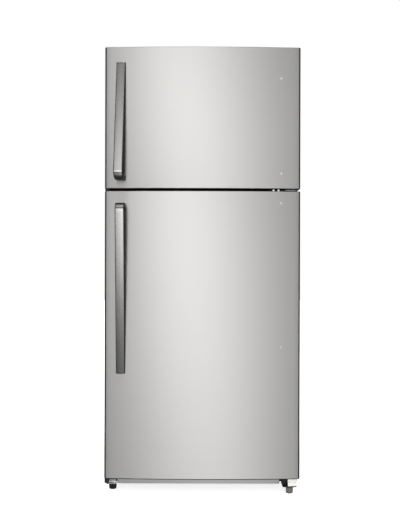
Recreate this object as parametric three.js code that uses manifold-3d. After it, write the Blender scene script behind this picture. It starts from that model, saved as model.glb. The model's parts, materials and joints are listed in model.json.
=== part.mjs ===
// Top freezer refrigerator, built up from the pieces it comes apart into on a bench.
// Millimetres, +Z up, floor at Z = 0, doors towards -Y, hinges on the +X side.

import * as THREE from 'three';
import { mergeVertices } from 'three/addons/utils/BufferGeometryUtils.js';
import Module from 'manifold-3d';

const wasm = await Module();
wasm.setup();

// ---------------------------------------------------------------- driving dimensions

const GAP = 0.3; // clearance between neighbouring pieces
const SHEET = 1.2; // folded steel sheet
const LINER = 2; // thermoformed plastic liners
const PASS = 5; // how far a cutting tool reaches past the face it goes through

// Cabinet: outer case, front sealing flange and the two cold spaces inside it.
const CABINET = { half: 374, front: -266, back: 379, bottom: 30, top: 1713 };
const FLANGE = { half: 326, bottom: 84, top: 1678 };
const RAIL = { bottom: 1133, top: 1201, depth: 20 };
const FREEZER = { half: 320, bottom: 1207, top: 1672, back: 312, corner: 20 };
const FRIDGE = { half: 320, bottom: 92, top: 1127, back: 322, corner: 20 };
const HUMP = { front: 118, shoulder: 150, top: 310 }; // step over the compressor bay
const BAY = { front: 170, top: 257 };
const RIB = { inner: 311, height: 6, front: -130 }; // shelf rests moulded in the liners

// Doors: a shallow bow across the front between two small rounded edges.
const DOOR = { half: 375, rear: -278, edge: -333, apex: -343, corner: 8 };
const FREEZER_DOOR = { bottom: 1172, top: 1712.5 };
const FRIDGE_DOOR = { bottom: 60, top: 1162 };
const CAP = { plate: 4, plug: 12, inset: 0.8 };
const SKIN_RETURN = 14; // rear fold of the door skin
const DIKE = { half: 306, width: 18, rear: -222, margin: 9, corner: 24 };
const GASKET = { half: 348, width: 20, margin: 6, corner: 8 };

// Hinge line of both doors, and the pieces that carry it.
const HINGE = { x: 355, y: -313, pin: 4, bore: 4.3 };
const TOP_PLATE = { left: 300, right: 368, front: -322, back: -170, thick: 3 };
const MIDDLE_ARM = { left: 317, front: -324, bottom: 1165, top: 1169, tip: 11 };
const MIDDLE_FLANGE = { left: 262, right: 366, bottom: 1157, top: 1177, thick: 4 };
const LOWER_PLATE = { left: 311, right: 366, front: -324, bottom: 26, top: 30 };
const CAM = { left: 331, radius: 11 };

// Handles: each lies flush on its door at one end and stands off to an elbow at the other.
const HANDLE = { x: -310.5, width: 38, back: -337, front: -391, tip: 5, thick: 15, elbow: 30 };
const FREEZER_HANDLE = { flush: 1652, elbow: 1201, lean: 0.12 };
const FRIDGE_HANDLE = { flush: 464, elbow: 1115, lean: 0 };

// What stands on the floor.
const LEFT_FOOT = { x: -350.4, y: -259, radius: 15, height: 22.8 };
const RIGHT_FOOT = { x: 338.7, y: -306, radius: 14, height: 25 };
const FOOT_STUD = { radius: 4, top: 29.6 };
const ROLLER = { x: 344, y: 340, radius: 20, half: 8, axle: 4, axleHalf: 16 };

// Fittings inside.
const SHELF = { half: 317, front: -145, back: 305, glass: 4, upper: 830, middle: 590 };
const CRISPER_COVER_Z = 333;
const CRISPER = { inner: 6, outer: 309, front: -145, back: 108, bottom: 95, top: 322, wall: 3 };
const DELI = { half: 138, front: -140, back: 180, bottom: 478, top: 566, wall: 2.5, flange: 149 };
const DOOR_BIN = { half: 286, rear: -277.8, front: -165, wall: 2.5 };
const BIN_HEIGHTS = {
  fridge_door_bin_lower: [124, 248],
  fridge_door_bin_middle: [440, 548],
  fridge_door_bin_upper: [780, 888],
  freezer_door_bin: [1262, 1376],
};
const CONTROL = { half: 170, front: -90, back: 140, bottom: 1066 };
const SWITCH = { x: -200, z: 1106, radius: 4, front: -200 };
const KNOB = { x: 110, z: 1096, radius: 18 };
const COVER = { half: 318, front: 236, depth: 14, bottom: 1209, top: 1670, wall: 2.5 };
const FAN = { z: 1560, radius: 52, front: 258, hub: 14, blades: 5 };
const FREEZER_SHELF_Z = 1430;

// ---------------------------------------------------------------- shape helpers

/** Box between two opposite corners. */
function box([x0, y0, z0], [x1, y1, z1]) {
  const geometry = new THREE.BoxGeometry(x1 - x0, y1 - y0, z1 - z0);
  return geometry.translate((x0 + x1) / 2, (y0 + y1) / 2, (z0 + z1) / 2);
}

/** Prism of an outline given as [x, y] points, standing between two heights. */
function prismZ(points, z0, z1) {
  const shape = new THREE.Shape(points.map(([x, y]) => new THREE.Vector2(x, y)));
  const geometry = new THREE.ExtrudeGeometry(shape, { depth: z1 - z0, bevelEnabled: false });
  return geometry.translate(0, 0, z0);
}

/** Prism of an outline given as [x, z] points, lying between two depths. */
function prismY(points, y0, y1) {
  return prismZ(points, 0, y1 - y0).rotateX(Math.PI / 2).translate(0, y1, 0);
}

/** Prism of an outline given as [y, z] points, lying between two sides. */
function prismX(points, x0, x1) {
  const turn = new THREE.Matrix4().set(0, 0, 1, 0, 1, 0, 0, 0, 0, 1, 0, 0, 0, 0, 0, 1);
  return prismZ(points, x0, x1).applyMatrix4(turn);
}

/** Cylinder along X, Y or Z between two positions on that axis. */
function cylinder(axis, radius, start, end, centre, sides = 24) {
  const geometry = new THREE.CylinderGeometry(radius, radius, end - start, sides);
  const middle = (start + end) / 2;
  if (axis === 'x') return geometry.rotateZ(Math.PI / 2).translate(middle, ...centre);
  if (axis === 'y') return geometry.translate(centre[0], middle, centre[1]);
  return geometry.rotateX(Math.PI / 2).translate(...centre, middle);
}

/** Points of an arc about a centre, from one angle to another in degrees. */
function arc([u, v], radius, from, to, steps) {
  return Array.from({ length: steps + 1 }, (_, i) => {
    const angle = THREE.MathUtils.degToRad(from + ((to - from) * i) / steps);
    return [u + radius * Math.cos(angle), v + radius * Math.sin(angle)];
  });
}

/** Rounded rectangle outline, symmetric about the first axis. */
function roundedRect(half, low, high, radius, steps = 3) {
  return [
    ...arc([half - radius, low + radius], radius, -90, 0, steps),
    ...arc([half - radius, high - radius], radius, 0, 90, steps),
    ...arc([-half + radius, high - radius], radius, 90, 180, steps),
    ...arc([-half + radius, low + radius], radius, 180, 270, steps),
  ];
}

/** Outline of a sheet folded along a path, its thickness laid to the left of the path. */
function foldedSheet(path, thickness) {
  const normals = path.slice(1).map(([u, v], i) => {
    const [du, dv] = [u - path[i][0], v - path[i][1]];
    const length = Math.hypot(du, dv);
    return [-dv / length, du / length];
  });
  const inner = path.map(([u, v], i) => {
    const [a, b] = [normals[Math.max(i - 1, 0)], normals[Math.min(i, normals.length - 1)]];
    const stretch = thickness / (1 + a[0] * b[0] + a[1] * b[1]);
    return [u + (a[0] + b[0]) * stretch, v + (a[1] + b[1]) * stretch];
  });
  return [...path, ...inner.reverse()];
}

/** Solid of a geometry, its doubled vertices merged. */
function solidOf(geometry) {
  const bare = geometry.clone();
  bare.deleteAttribute('normal');
  bare.deleteAttribute('uv');
  const { index, attributes } = mergeVertices(bare, 1e-4);
  const vertProperties = attributes.position.array;
  const triVerts = new Uint32Array(index.array);
  return new wasm.Manifold(new wasm.Mesh({ numProp: 3, vertProperties, triVerts }));
}

/** Geometry of a solid. */
function geometryOf(solid) {
  const { vertProperties, triVerts } = solid.getMesh();
  const geometry = new THREE.BufferGeometry();
  geometry.setAttribute('position', new THREE.BufferAttribute(vertProperties, 3));
  geometry.setIndex(new THREE.BufferAttribute(triVerts, 1));
  geometry.computeVertexNormals();
  return geometry;
}

const cut = (first, ...tools) =>
  geometryOf(tools.reduce((solid, tool) => solid.subtract(solidOf(tool)), solidOf(first)));

const join = (first, ...others) =>
  geometryOf(others.reduce((solid, other) => solid.add(solidOf(other)), solidOf(first)));

/** Box with an open top, its walls and floor of one thickness. */
function openBin([x0, y0, z0], [x1, y1, z1], wall) {
  const inside = box([x0 + wall, y0 + wall, z0 + wall], [x1 - wall, y1 - wall, z1 + PASS]);
  return cut(box([x0, y0, z0], [x1, y1, z1]), inside);
}

// ---------------------------------------------------------------- cabinet

const PAN_HALF = CABINET.half - SHEET - GAP;
const PAN_FRONT = CABINET.front + SHEET + GAP;
const FOAM_FRONT = PAN_FRONT + SHEET + GAP;
const BACK_SHEET = { front: CABINET.back - SHEET - GAP, back: CABINET.back - GAP };

/** Block of a cold space, grown outwards all round by a margin. */
function coldSpace(space, margin, front) {
  const { half, bottom, top, back, corner } = space;
  const outline = roundedRect(half + margin, bottom - margin, top + margin, corner + margin);
  return prismY(outline, front, back + margin);
}

/** Step at the rear foot of the fresh food space, grown outwards by a margin. */
function hump(margin) {
  const outline = [
    [HUMP.front - margin, 0],
    [FRIDGE.back + 100, 0],
    [FRIDGE.back + 100, HUMP.top + margin],
    [HUMP.shoulder - margin, HUMP.top + margin],
  ];
  return prismX(outline, -CABINET.half, CABINET.half);
}

/** Painted steel case: two sides, top and the folded front flange. */
function cabinetShell() {
  const { half, front, back, bottom, top } = CABINET;
  const inside = box([-half + SHEET, front + SHEET, bottom - PASS], [half - SHEET, back + PASS, top - SHEET]);
  const mouth = box([-FLANGE.half, front - PASS, FLANGE.bottom], [FLANGE.half, front + PASS, FLANGE.top]);
  return cut(box([-half, front, bottom], [half, back, top]), inside, mouth);
}

/** Floor pan, folded up behind the front flange and over the bay, with a skirt down each side. */
function bottomPan() {
  const path = [
    [PAN_FRONT, FLANGE.bottom - PASS],
    [PAN_FRONT, CABINET.bottom],
    [BAY.front, CABINET.bottom],
    [BAY.front, BAY.top],
    [BACK_SHEET.back, BAY.top],
  ];
  const skirts = [-PAN_HALF, PAN_HALF - SHEET].map((x) =>
    box([x, BAY.front - SHEET / 2, CABINET.bottom], [x + SHEET, BACK_SHEET.front - GAP, BAY.top + SHEET / 2]),
  );
  return join(prismX(foldedSheet(path, SHEET), -PAN_HALF, PAN_HALF), ...skirts);
}

function backPanel() {
  const low = BAY.top + SHEET + GAP;
  return box([-PAN_HALF, BACK_SHEET.front, low], [PAN_HALF, BACK_SHEET.back, CABINET.top - SHEET - GAP]);
}

/** Poured foam round both cold spaces, square behind the round corners of the liners. */
function insulationFoam() {
  const low = CABINET.bottom + SHEET + GAP;
  const high = CABINET.top - SHEET - GAP;
  const margin = LINER + GAP;
  const block = box([-PAN_HALF, FOAM_FRONT, low], [PAN_HALF, BACK_SHEET.front - GAP, high]);
  const hollow = ({ half, bottom, top, back }) => box(
    [-half - margin, FOAM_FRONT - PASS, bottom - margin],
    [half + margin, back + margin, top + margin],
  );
  const bayFront = BAY.front - SHEET - GAP;
  const bay = box([-CABINET.half, bayFront, 0], [CABINET.half, CABINET.back, BAY.top + SHEET + GAP]);
  const channel = box(
    [-FLANGE.half, CABINET.front, RAIL.bottom - GAP],
    [FLANGE.half, CABINET.front + RAIL.depth + GAP, RAIL.top + GAP],
  );
  return cut(block, hollow(FREEZER), cut(hollow(FRIDGE), hump(-GAP)), bay, channel);
}

/** Front lip of a liner, filling the space inside the steel flange. */
function linerLip(bottom, top) {
  const outline = [[-1, bottom], [1, bottom], [1, top], [-1, top]];
  const half = FLANGE.half - GAP;
  return prismY(outline.map(([side, z]) => [side * half, z]), CABINET.front, CABINET.front + LINER);
}

/** Pair of shelf rests on the side walls of a liner. */
function ribPair(top, back) {
  return [-1, 1].map((side) => {
    const [near, far] = [side * RIB.inner, side * (FRIDGE.half + LINER / 2)];
    const [low, high] = [Math.min(near, far), Math.max(near, far)];
    return box([low, RIB.front, top - RIB.height], [high, back, top]);
  });
}

function freezerLiner() {
  const lip = linerLip(RAIL.top + GAP, FLANGE.top - GAP);
  const body = join(coldSpace(FREEZER, LINER, CABINET.front), lip);
  const hollow = cut(body, coldSpace(FREEZER, 0, CABINET.front - PASS));
  return join(hollow, ...ribPair(FREEZER_SHELF_Z - GAP, COVER.front - 10));
}

function fridgeLiner() {
  const lip = linerLip(FLANGE.bottom + GAP, RAIL.bottom - GAP);
  const body = join(cut(coldSpace(FRIDGE, LINER, CABINET.front), hump(0)), lip);
  const space = cut(coldSpace(FRIDGE, 0, CABINET.front - PASS), hump(LINER));
  const rests = [SHELF.upper, SHELF.middle, CRISPER_COVER_Z].map((z) => ribPair(z - GAP, SHELF.back - 15));
  return join(cut(body, space), ...rests.flat());
}

/** Steel channel between the two mouths, which both gaskets close on. */
function centreRail() {
  const back = CABINET.front + RAIL.depth;
  const path = [
    [back, RAIL.top],
    [CABINET.front, RAIL.top],
    [CABINET.front, RAIL.bottom],
    [back, RAIL.bottom],
  ];
  const half = FLANGE.half - GAP;
  return prismX(foldedSheet(path, SHEET), -half, half);
}

/** Kick strip under the fresh food door, its top edge rounded. */
function baseStrip() {
  const [front, back, bottom, top] = [-275, CABINET.front - GAP, 23, 45];
  const radius = 4;
  const outline = [
    [back, bottom],
    [back, top],
    ...arc([front + radius, top - radius], radius, 90, 180, 4),
    [front, bottom],
  ];
  return prismX(outline.reverse(), -331, 304);
}

// ---------------------------------------------------------------- feet and rollers

/** Levelling foot: a broad round pad on a threaded stud. */
function levellingFoot({ x, y, radius, height }) {
  const chamfer = 2;
  const profile = [
    [0, 0],
    [radius - chamfer, 0],
    [radius, chamfer],
    [radius, height - chamfer],
    [radius - chamfer, height],
    [FOOT_STUD.radius, height],
    [FOOT_STUD.radius, FOOT_STUD.top],
    [0, FOOT_STUD.top],
  ];
  const points = profile.map(([r, z]) => new THREE.Vector2(r, z));
  return new THREE.LatheGeometry(points, 24).rotateX(Math.PI / 2).translate(x, y, 0);
}

/** Angle bracket that holds the left foot under the cabinet's front edge. */
function leftFootBracket() {
  const [left, right, bottom] = [-366, -336, 24];
  const plate = box([left, -284, bottom], [right, -236, bottom + 3]);
  const flange = box([left, CABINET.front - 4.3, bottom], [right, CABINET.front - GAP, 38]);
  const hole = cylinder('z', HINGE.bore, 0, 60, [LEFT_FOOT.x, LEFT_FOOT.y]);
  return cut(join(plate, flange), hole);
}

function rearRoller(side) {
  const centre = [ROLLER.y, ROLLER.radius];
  const x = side * ROLLER.x;
  const wheel = cylinder('x', ROLLER.radius, x - ROLLER.half, x + ROLLER.half, centre, 32);
  const axle = cylinder('x', ROLLER.axle, x - ROLLER.axleHalf, x + ROLLER.axleHalf, centre, 16);
  return join(wheel, axle);
}

/** Cross rail that carries the compressor, with ears down to the roller axles. */
function compressorRail() {
  const [front, back, bottom, thick] = [195, 358, 44, 3];
  const half = PAN_HALF - SHEET - GAP;
  const plate = box([-half, front, bottom], [half, back, bottom + thick]);
  const stiffener = box([-half, front, bottom], [half, front + thick, bottom + 18]);
  const ears = [-1, 1].flatMap((side) =>
    [-1, 1].map((end) => {
      const x = side * ROLLER.x + end * 14;
      return box([x - 2, ROLLER.y - 14, 10], [x + 2, ROLLER.y + 14, bottom + 1]);
    }),
  );
  const reach = CABINET.half;
  const bore = cylinder('x', ROLLER.axle + GAP, -reach, reach, [ROLLER.y, ROLLER.radius]);
  return cut(join(plate, stiffener, ...ears), bore);
}

// ---------------------------------------------------------------- cooling machinery

/** Compressor: welded oval can on a foot plate with four rubber grommets. */
function compressor() {
  const [x, y, floor] = [190, 275, 47 + GAP];
  const profile = [[0, 14], [58, 14], [66, 24], [70, 44], [70, 120], [62, 152], [42, 172], [0, 180]];
  const points = profile.map(([r, z]) => new THREE.Vector2(r, z));
  const can = new THREE.LatheGeometry(points, 28).rotateX(Math.PI / 2).scale(1.15, 0.95, 1);
  const plate = box([-92, -62, 8], [92, 62, 12 + PASS]);
  const grommets = [-78, 78].flatMap((u) =>
    [-50, 50].map((v) => cylinder('z', 10, 0, 10, [u, v], 12)),
  );
  return join(can, plate, ...grommets).translate(x, y, floor);
}

/** Quarter-turned half circle that links two neighbouring rows of a tube. */
class ReturnBend extends THREE.Curve {
  constructor(centre, radius, side) {
    super();
    Object.assign(this, { centre, radius, side });
  }

  getPoint(t, target = new THREE.Vector3()) {
    const angle = Math.PI * (t - 0.5);
    const { x, y, z } = this.centre;
    const { radius, side } = this;
    return target.set(x + side * radius * Math.cos(angle), y, z + radius * Math.sin(angle));
  }
}

/** Serpentine tube in an upright plane, straight rows joined by return bends. */
function serpentine({ left, right, y, bottom, pitch, rows, radius }) {
  const sides = 6;
  const straights = Array.from({ length: rows }, (_, i) =>
    cylinder('x', radius, left, right, [y, bottom + i * pitch], sides),
  );
  const section = new THREE.Shape(
    arc([0, 0], radius, 0, 360 - 360 / sides, sides - 1).map(([u, v]) => new THREE.Vector2(u, v)),
  );
  const bends = straights.slice(1).map((_, i) => {
    const side = i % 2 ? -1 : 1;
    const centre = new THREE.Vector3(side > 0 ? right - 1 : left + 1, y, bottom + (i + 0.5) * pitch);
    const extrudePath = new ReturnBend(centre, pitch / 2, side);
    return new THREE.ExtrudeGeometry(section, { extrudePath, steps: 6 });
  });
  return join(straights[0], ...straights.slice(1), ...bends);
}

function condenserCoil() {
  return serpentine({ left: -320, right: -60, y: 270, bottom: 100, pitch: 26, rows: 6, radius: 4 });
}

/** Evaporator: a serpentine tube pressed through a stack of fins. */
function evaporator() {
  const tube = serpentine({ left: -235, right: 235, y: 282, bottom: 1245, pitch: 40, rows: 4, radius: 4.5 });
  const fins = Array.from({ length: 9 }, (_, i) => {
    const x = (i - 4) * 50;
    return box([x - 1, 258, 1228], [x + 1, 306, 1382]);
  });
  return join(tube, ...fins);
}

/** Freezer back cover: an air duct front with a fan grille and return slots. */
function evaporatorCover() {
  const { half, front, depth, bottom, top, wall } = COVER;
  const corner = FREEZER.corner;
  const outer = prismY(roundedRect(half, bottom, top, corner), front, front + depth);
  const inside = roundedRect(half - wall, bottom + wall, top - wall, corner - wall);
  const inner = prismY(inside, front + wall, front + depth + PASS);
  const grille = Array.from({ length: 7 }, (_, i) => {
    const z = FAN.z + (i - 3) * 14;
    const reach = Math.sqrt(FAN.radius ** 2 - (z - FAN.z) ** 2);
    return box([-reach, front - PASS, z - 4], [reach, front + depth, z + 4]);
  });
  const returns = Array.from({ length: 6 }, (_, i) => {
    const x = (i - 2.5) * 90;
    return box([x - 34, front - PASS, bottom + 14], [x + 34, front + depth, bottom + 24]);
  });
  return cut(outer, inner, ...grille, ...returns);
}

function fanMotor() {
  const can = cylinder('y', 24, 282, FREEZER.back - 4, [0, FAN.z]);
  const plate = box([-45, FREEZER.back - 5, FAN.z - 30], [45, FREEZER.back - GAP, FAN.z + 30]);
  const shaft = cylinder('y', 2.5, FAN.front + 4, 284, [0, FAN.z], 12);
  return join(can, plate, shaft);
}

/** Axial fan: pitched blades round a hub that slides on the motor's shaft. */
function evaporatorFan() {
  const hub = cylinder('y', FAN.hub, FAN.front, FAN.front + 16, [0, 0], 20);
  const blades = Array.from({ length: FAN.blades }, (_, i) => {
    const blade = new THREE.BoxGeometry(FAN.radius - FAN.hub - 4, 1.6, 22);
    blade.rotateX(0.55).translate((FAN.radius + FAN.hub - 6) / 2, FAN.front + 8, 0);
    return blade.rotateY((i * 2 * Math.PI) / FAN.blades);
  });
  const bore = cylinder('y', 2.5 + GAP, FAN.front + 3, FAN.front + 30, [0, 0], 12);
  return cut(join(hub, ...blades), bore).translate(0, 0, FAN.z);
}

function drainPan() {
  return openBin([-345, 204, 47 + GAP], [-40, 345, 80], LINER);
}

/** Pressed cover over the compressor bay, standing out from the back, with air slots. */
function rearCover() {
  const [flat, raised] = [BACK_SHEET.front, 391 - SHEET];
  const path = [[flat, 34], [flat, 46], [raised, 60], [raised, 226], [flat, 240], [flat, 252]];
  const half = PAN_HALF - SHEET - GAP;
  const sheet = prismX(foldedSheet(path.reverse(), SHEET), -half, half);
  const slots = Array.from({ length: 20 }, (_, i) => {
    const x = (i - 9.5) * 32;
    return box([x - 4, raised - PASS, 90], [x + 4, raised + PASS, 200]);
  });
  return cut(sheet, ...slots);
}

// ---------------------------------------------------------------- cabinet fittings

/** Glass shelf with a moulded front and rear edge. */
function glassShelf(z) {
  const { half, front, back, glass } = SHELF;
  const pane = box([-half, front + 2, z], [half, back - 2, z + glass]);
  const nose = box([-half, front, z - 6], [half, front + 12, z + 8]);
  const tail = box([-half, back - 10, z - 2], [half, back, z + 12]);
  return join(pane, nose, tail);
}

/** Middle shelf, with two runners under it for the deli drawer. */
function shelfMiddle() {
  const runners = [-1, 1].flatMap((side) => {
    const span = (near, far) => [Math.min(side * near, side * far), Math.max(side * near, side * far)];
    const [webLow, webHigh] = span(DELI.flange + 1, DELI.flange + 4);
    const [footLow, footHigh] = span(DELI.half + 3, DELI.flange + 4);
    const foot = DELI.top - 3 - 2 * GAP;
    return [
      box([webLow, SHELF.front + 5, foot - 4], [webHigh, DELI.back, SHELF.middle + 1]),
      box([footLow, SHELF.front + 5, foot - 4], [footHigh, DELI.back, foot]),
    ];
  });
  return join(glassShelf(SHELF.middle), ...runners);
}

/** Shallow drawer hung by two side flanges, its front dropped in the middle for the hand. */
function deliDrawer() {
  const { half, front, back, bottom, top, wall, flange } = DELI;
  const bin = openBin([-half, front, bottom], [half, back, top], wall);
  const flanges = [-1, 1].map((side) => {
    const [low, high] = [Math.min(side * half, side * flange), Math.max(side * half, side * flange)];
    return box([low - (side > 0 ? 1 : 0), front, top - 3], [high + (side < 0 ? 1 : 0), back, top]);
  });
  const grip = box([-50, front - PASS, top - 16], [50, front + wall + PASS, top + PASS]);
  return cut(join(bin, ...flanges), grip);
}

/** Crisper drawer with a thick front that is hollowed for the hand. */
function crisper(side) {
  const { inner, outer, front, back, bottom, top, wall } = CRISPER;
  const [low, high] = side > 0 ? [inner, outer] : [-outer, -inner];
  const bin = openBin([low, front + 8, bottom], [high, back, top - 4], wall);
  const fascia = box([low, front, bottom], [high, front + 9, top]);
  const grip = box([low + 70, front - PASS, top - 24], [high - 70, front + 6, top - 4]);
  return cut(join(bin, fascia), grip);
}

/** Glass cover over both crispers, standing on a wall between them. */
function crisperCover() {
  const pane = box([-SHELF.half, SHELF.front, CRISPER_COVER_Z], [SHELF.half, SHELF.back, CRISPER_COVER_Z + 5]);
  const wall = box([-3, SHELF.front + 10, FRIDGE.bottom + GAP], [3, CRISPER.back, CRISPER_COVER_Z + 1]);
  return join(pane, wall);
}

/** Control box under the fresh food ceiling, with an arm out to the lamp switch. */
function controlHousing() {
  const top = FRIDGE.top - GAP;
  const body = box([-CONTROL.half, CONTROL.front, CONTROL.bottom], [CONTROL.half, CONTROL.back, top]);
  const arm = box([SWITCH.x - 15, SWITCH.front, SWITCH.z - 12], [SWITCH.x + 15, CONTROL.front + 40, top]);
  const link = box([SWITCH.x - 15, CONTROL.front, SWITCH.z - 12], [-CONTROL.half + 5, CONTROL.front + 40, top]);
  const guide = cylinder('y', SWITCH.radius + 0.5, SWITCH.front - PASS, SWITCH.front + 70, [SWITCH.x, SWITCH.z]);
  const stem = cylinder('y', 4.5, CONTROL.front - PASS, CONTROL.front + 12, [KNOB.x, KNOB.z]);
  return cut(join(body, arm, link), guide, stem);
}

function lampCover() {
  const outline = roundedRect(62, CONTROL.bottom - 26, CONTROL.bottom - GAP, 10);
  return prismY(outline, -40, 100);
}

/** Thermostat knob: a round skirt with a finger ridge and a stem. */
function temperatureKnob() {
  const face = CONTROL.front - GAP;
  const skirt = cylinder('y', KNOB.radius, face - 6, face, [0, 0], 32);
  const ridge = box([-3, face - 16, -KNOB.radius + 1], [3, face - 5, KNOB.radius - 1]);
  const stem = cylinder('y', 4, face - 1, face + 10, [0, 0], 16);
  return join(skirt, ridge, stem).translate(KNOB.x, 0, KNOB.z);
}

/** Lamp switch plunger, held in by the closed door. */
function lightSwitch() {
  const tip = DIKE.rear + GAP;
  return cylinder('y', SWITCH.radius, tip, SWITCH.front + 50, [SWITCH.x, SWITCH.z], 20);
}

/** Wire shelf of the freezer: a frame with cross wires. */
function freezerShelf() {
  const [half, front, back, z] = [SHELF.half, -125, COVER.front - 12, FREEZER_SHELF_Z];
  const sides = [-1, 1].map((side) => box([side * (half - 3) - 3, front, z], [side * (half - 3) + 3, back, z + 6]));
  const ends = [front, (front + back) / 2, back - 6].map((y) => box([-half, y, z], [half, y + 6, z + 5]));
  const wires = Array.from({ length: 15 }, (_, i) => {
    const x = (i - 7) * 39;
    return box([x - 1.5, front, z + 3], [x + 1.5, back, z + 7]);
  });
  return join(sides[0], sides[1], ...ends, ...wires);
}

// ---------------------------------------------------------------- hinges

/** Outline of a plate whose right end is rounded about the hinge line. */
function hingeTongue(left, back, radius) {
  return [
    ...arc([HINGE.x, HINGE.y], radius, -90, 0, 6),
    [HINGE.x + radius, back],
    [left, back],
    [left, HINGE.y - radius],
  ];
}

const hingeBore = (z0, z1) => cylinder('z', HINGE.bore, z0, z1, [HINGE.x, HINGE.y]);
const hingePin = (z0, z1) => cylinder('z', HINGE.pin, z0, z1, [HINGE.x, HINGE.y]);

function topHingePlate() {
  const { left, right, front, back, thick } = TOP_PLATE;
  const bottom = CABINET.top + GAP;
  const plate = box([left, CABINET.front + 4, bottom], [right, back, bottom + thick]);
  const nose = prismZ(hingeTongue(left + 18, CABINET.front + 10, HINGE.y - front), bottom, bottom + thick);
  return cut(join(plate, nose), hingeBore(bottom - PASS, bottom + thick + PASS));
}

function topHingePin() {
  return hingePin(FREEZER_DOOR.top - CAP.plate - CAP.plug + 1, CABINET.top + GAP + TOP_PLATE.thick);
}

/** Cap over the top hinge plate, sloping down towards the doors. */
function topHingeCover() {
  const [front, back, base] = [-300, TOP_PLATE.back + 12, CABINET.top + GAP];
  const outline = [[front, base], [back, base], [back, base + 9], [back - 8, base + 14], [-262, base + 14], [front, base + 7]];
  const [left, right] = [TOP_PLATE.left - 6, CABINET.half - 1];
  const shell = prismX(outline, left, right);
  const hollow = box([left + 3, front - PASS, base - PASS], [right - 3, back - 3, base + 5]);
  return cut(shell, hollow);
}

function middleHingeBracket() {
  const { left, front, bottom, top, tip } = MIDDLE_ARM;
  const wall = CABINET.front - GAP;
  const { left: flangeLeft, right, bottom: low, top: high, thick } = MIDDLE_FLANGE;
  const flange = box([flangeLeft, wall - thick, low], [right, wall, high]);
  const arm = prismZ(hingeTongue(left, wall - 1, HINGE.y - front), bottom, top);
  const trimmed = cut(arm, box([HINGE.x + tip, front, bottom - PASS], [CABINET.half, wall, top + PASS]));
  return cut(join(flange, trimmed), hingeBore(bottom - PASS, top + PASS));
}

/** Double pin through the middle arm, with a collar that the freezer door rests on. */
function middleHingePin() {
  const reach = CAP.plate + CAP.plug - 2;
  const pin = hingePin(FRIDGE_DOOR.top - reach, FREEZER_DOOR.bottom + reach);
  const collarLow = MIDDLE_ARM.top + GAP;
  return join(pin, cylinder('z', 7, collarLow, FREEZER_DOOR.bottom - GAP, [HINGE.x, HINGE.y]));
}

/** Lower hinge bracket: plate, wall flange and an upright web beside the cam. */
function bottomHingeBracket() {
  const { left, right, front, bottom, top } = LOWER_PLATE;
  const wall = CABINET.front - GAP;
  const plate = prismZ(hingeTongue(left, wall - 1, HINGE.y - front), bottom, top);
  const flange = box([left, wall - 4, bottom], [right, wall, FRIDGE_DOOR.bottom + 2]);
  const web = box([left, -300, bottom], [left + 15, -296, FRIDGE_DOOR.bottom - 2]);
  const stud = cylinder('z', FOOT_STUD.radius + GAP, 0, 60, [RIGHT_FOOT.x, RIGHT_FOOT.y]);
  return cut(join(plate, flange, web), stud, hingeBore(0, 60));
}

function bottomHingePin() {
  return hingePin(LOWER_PLATE.bottom, FRIDGE_DOOR.bottom + CAP.plate + CAP.plug - 2);
}

/** One half of the self-closing cam pair round the lower pin. */
function hingeCam(bottom, top) {
  const back = HINGE.y + CAM.radius;
  const outline = [
    ...arc([HINGE.x, HINGE.y], CAM.radius, -90, 90, 10),
    [CAM.left, back],
    [CAM.left, HINGE.y - CAM.radius],
  ];
  return cut(prismZ(outline, bottom, top), hingeBore(bottom - PASS, top + PASS));
}

const CAM_SPLIT = (LOWER_PLATE.top + FRIDGE_DOOR.bottom) / 2;
const hingeCamLower = () => hingeCam(LOWER_PLATE.top + GAP, CAM_SPLIT - GAP / 2);
const hingeCamUpper = () => hingeCam(CAM_SPLIT + GAP / 2, FRIDGE_DOOR.bottom - GAP);

// ---------------------------------------------------------------- doors

const BOW = DOOR.edge - DOOR.apex;
const BOW_RADIUS = (DOOR.half ** 2 + BOW ** 2) / (2 * BOW);
const BOW_CENTRE = DOOR.apex + BOW_RADIUS;

/** Plan of a door from its rear left edge, round the bowed front, to its rear right edge. */
function doorOutline(inset, rear) {
  const half = DOOR.half - inset;
  const radius = DOOR.corner - inset;
  const frontAt = (x) => BOW_CENTRE - Math.sqrt((BOW_RADIUS - inset) ** 2 - x ** 2);
  const bend = half - radius;
  const corner = frontAt(bend) + radius;
  const steps = 16;
  const front = Array.from({ length: steps - 1 }, (_, i) => {
    const x = -bend + (2 * bend * (i + 1)) / steps;
    return [x, frontAt(x)];
  });
  return [
    [-half, rear],
    ...arc([-bend, corner], radius, 180, 270, 4),
    ...front,
    ...arc([bend, corner], radius, 270, 360, 4),
    [half, rear],
  ];
}

const skinSpan = ({ bottom, top }) => [bottom + CAP.plate + GAP, top - CAP.plate - GAP];
const foamSpan = ({ bottom, top }) => [
  bottom + CAP.plate + CAP.plug + GAP,
  top - CAP.plate - CAP.plug - GAP,
];
const CORE_REAR = DOOR.rear - LINER - 2 * GAP - 0.1;

/** Stainless door skin, folded back round both sides. */
function doorSkin(door) {
  const turned = DOOR.half - SKIN_RETURN;
  const inner = DOOR.rear - SHEET;
  const outline = [
    [-turned, DOOR.rear],
    ...doorOutline(0, DOOR.rear),
    [turned, DOOR.rear],
    [turned, inner],
    ...doorOutline(SHEET, inner).reverse(),
    [-turned, inner],
  ];
  return prismZ(outline, ...skinSpan(door));
}

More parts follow.
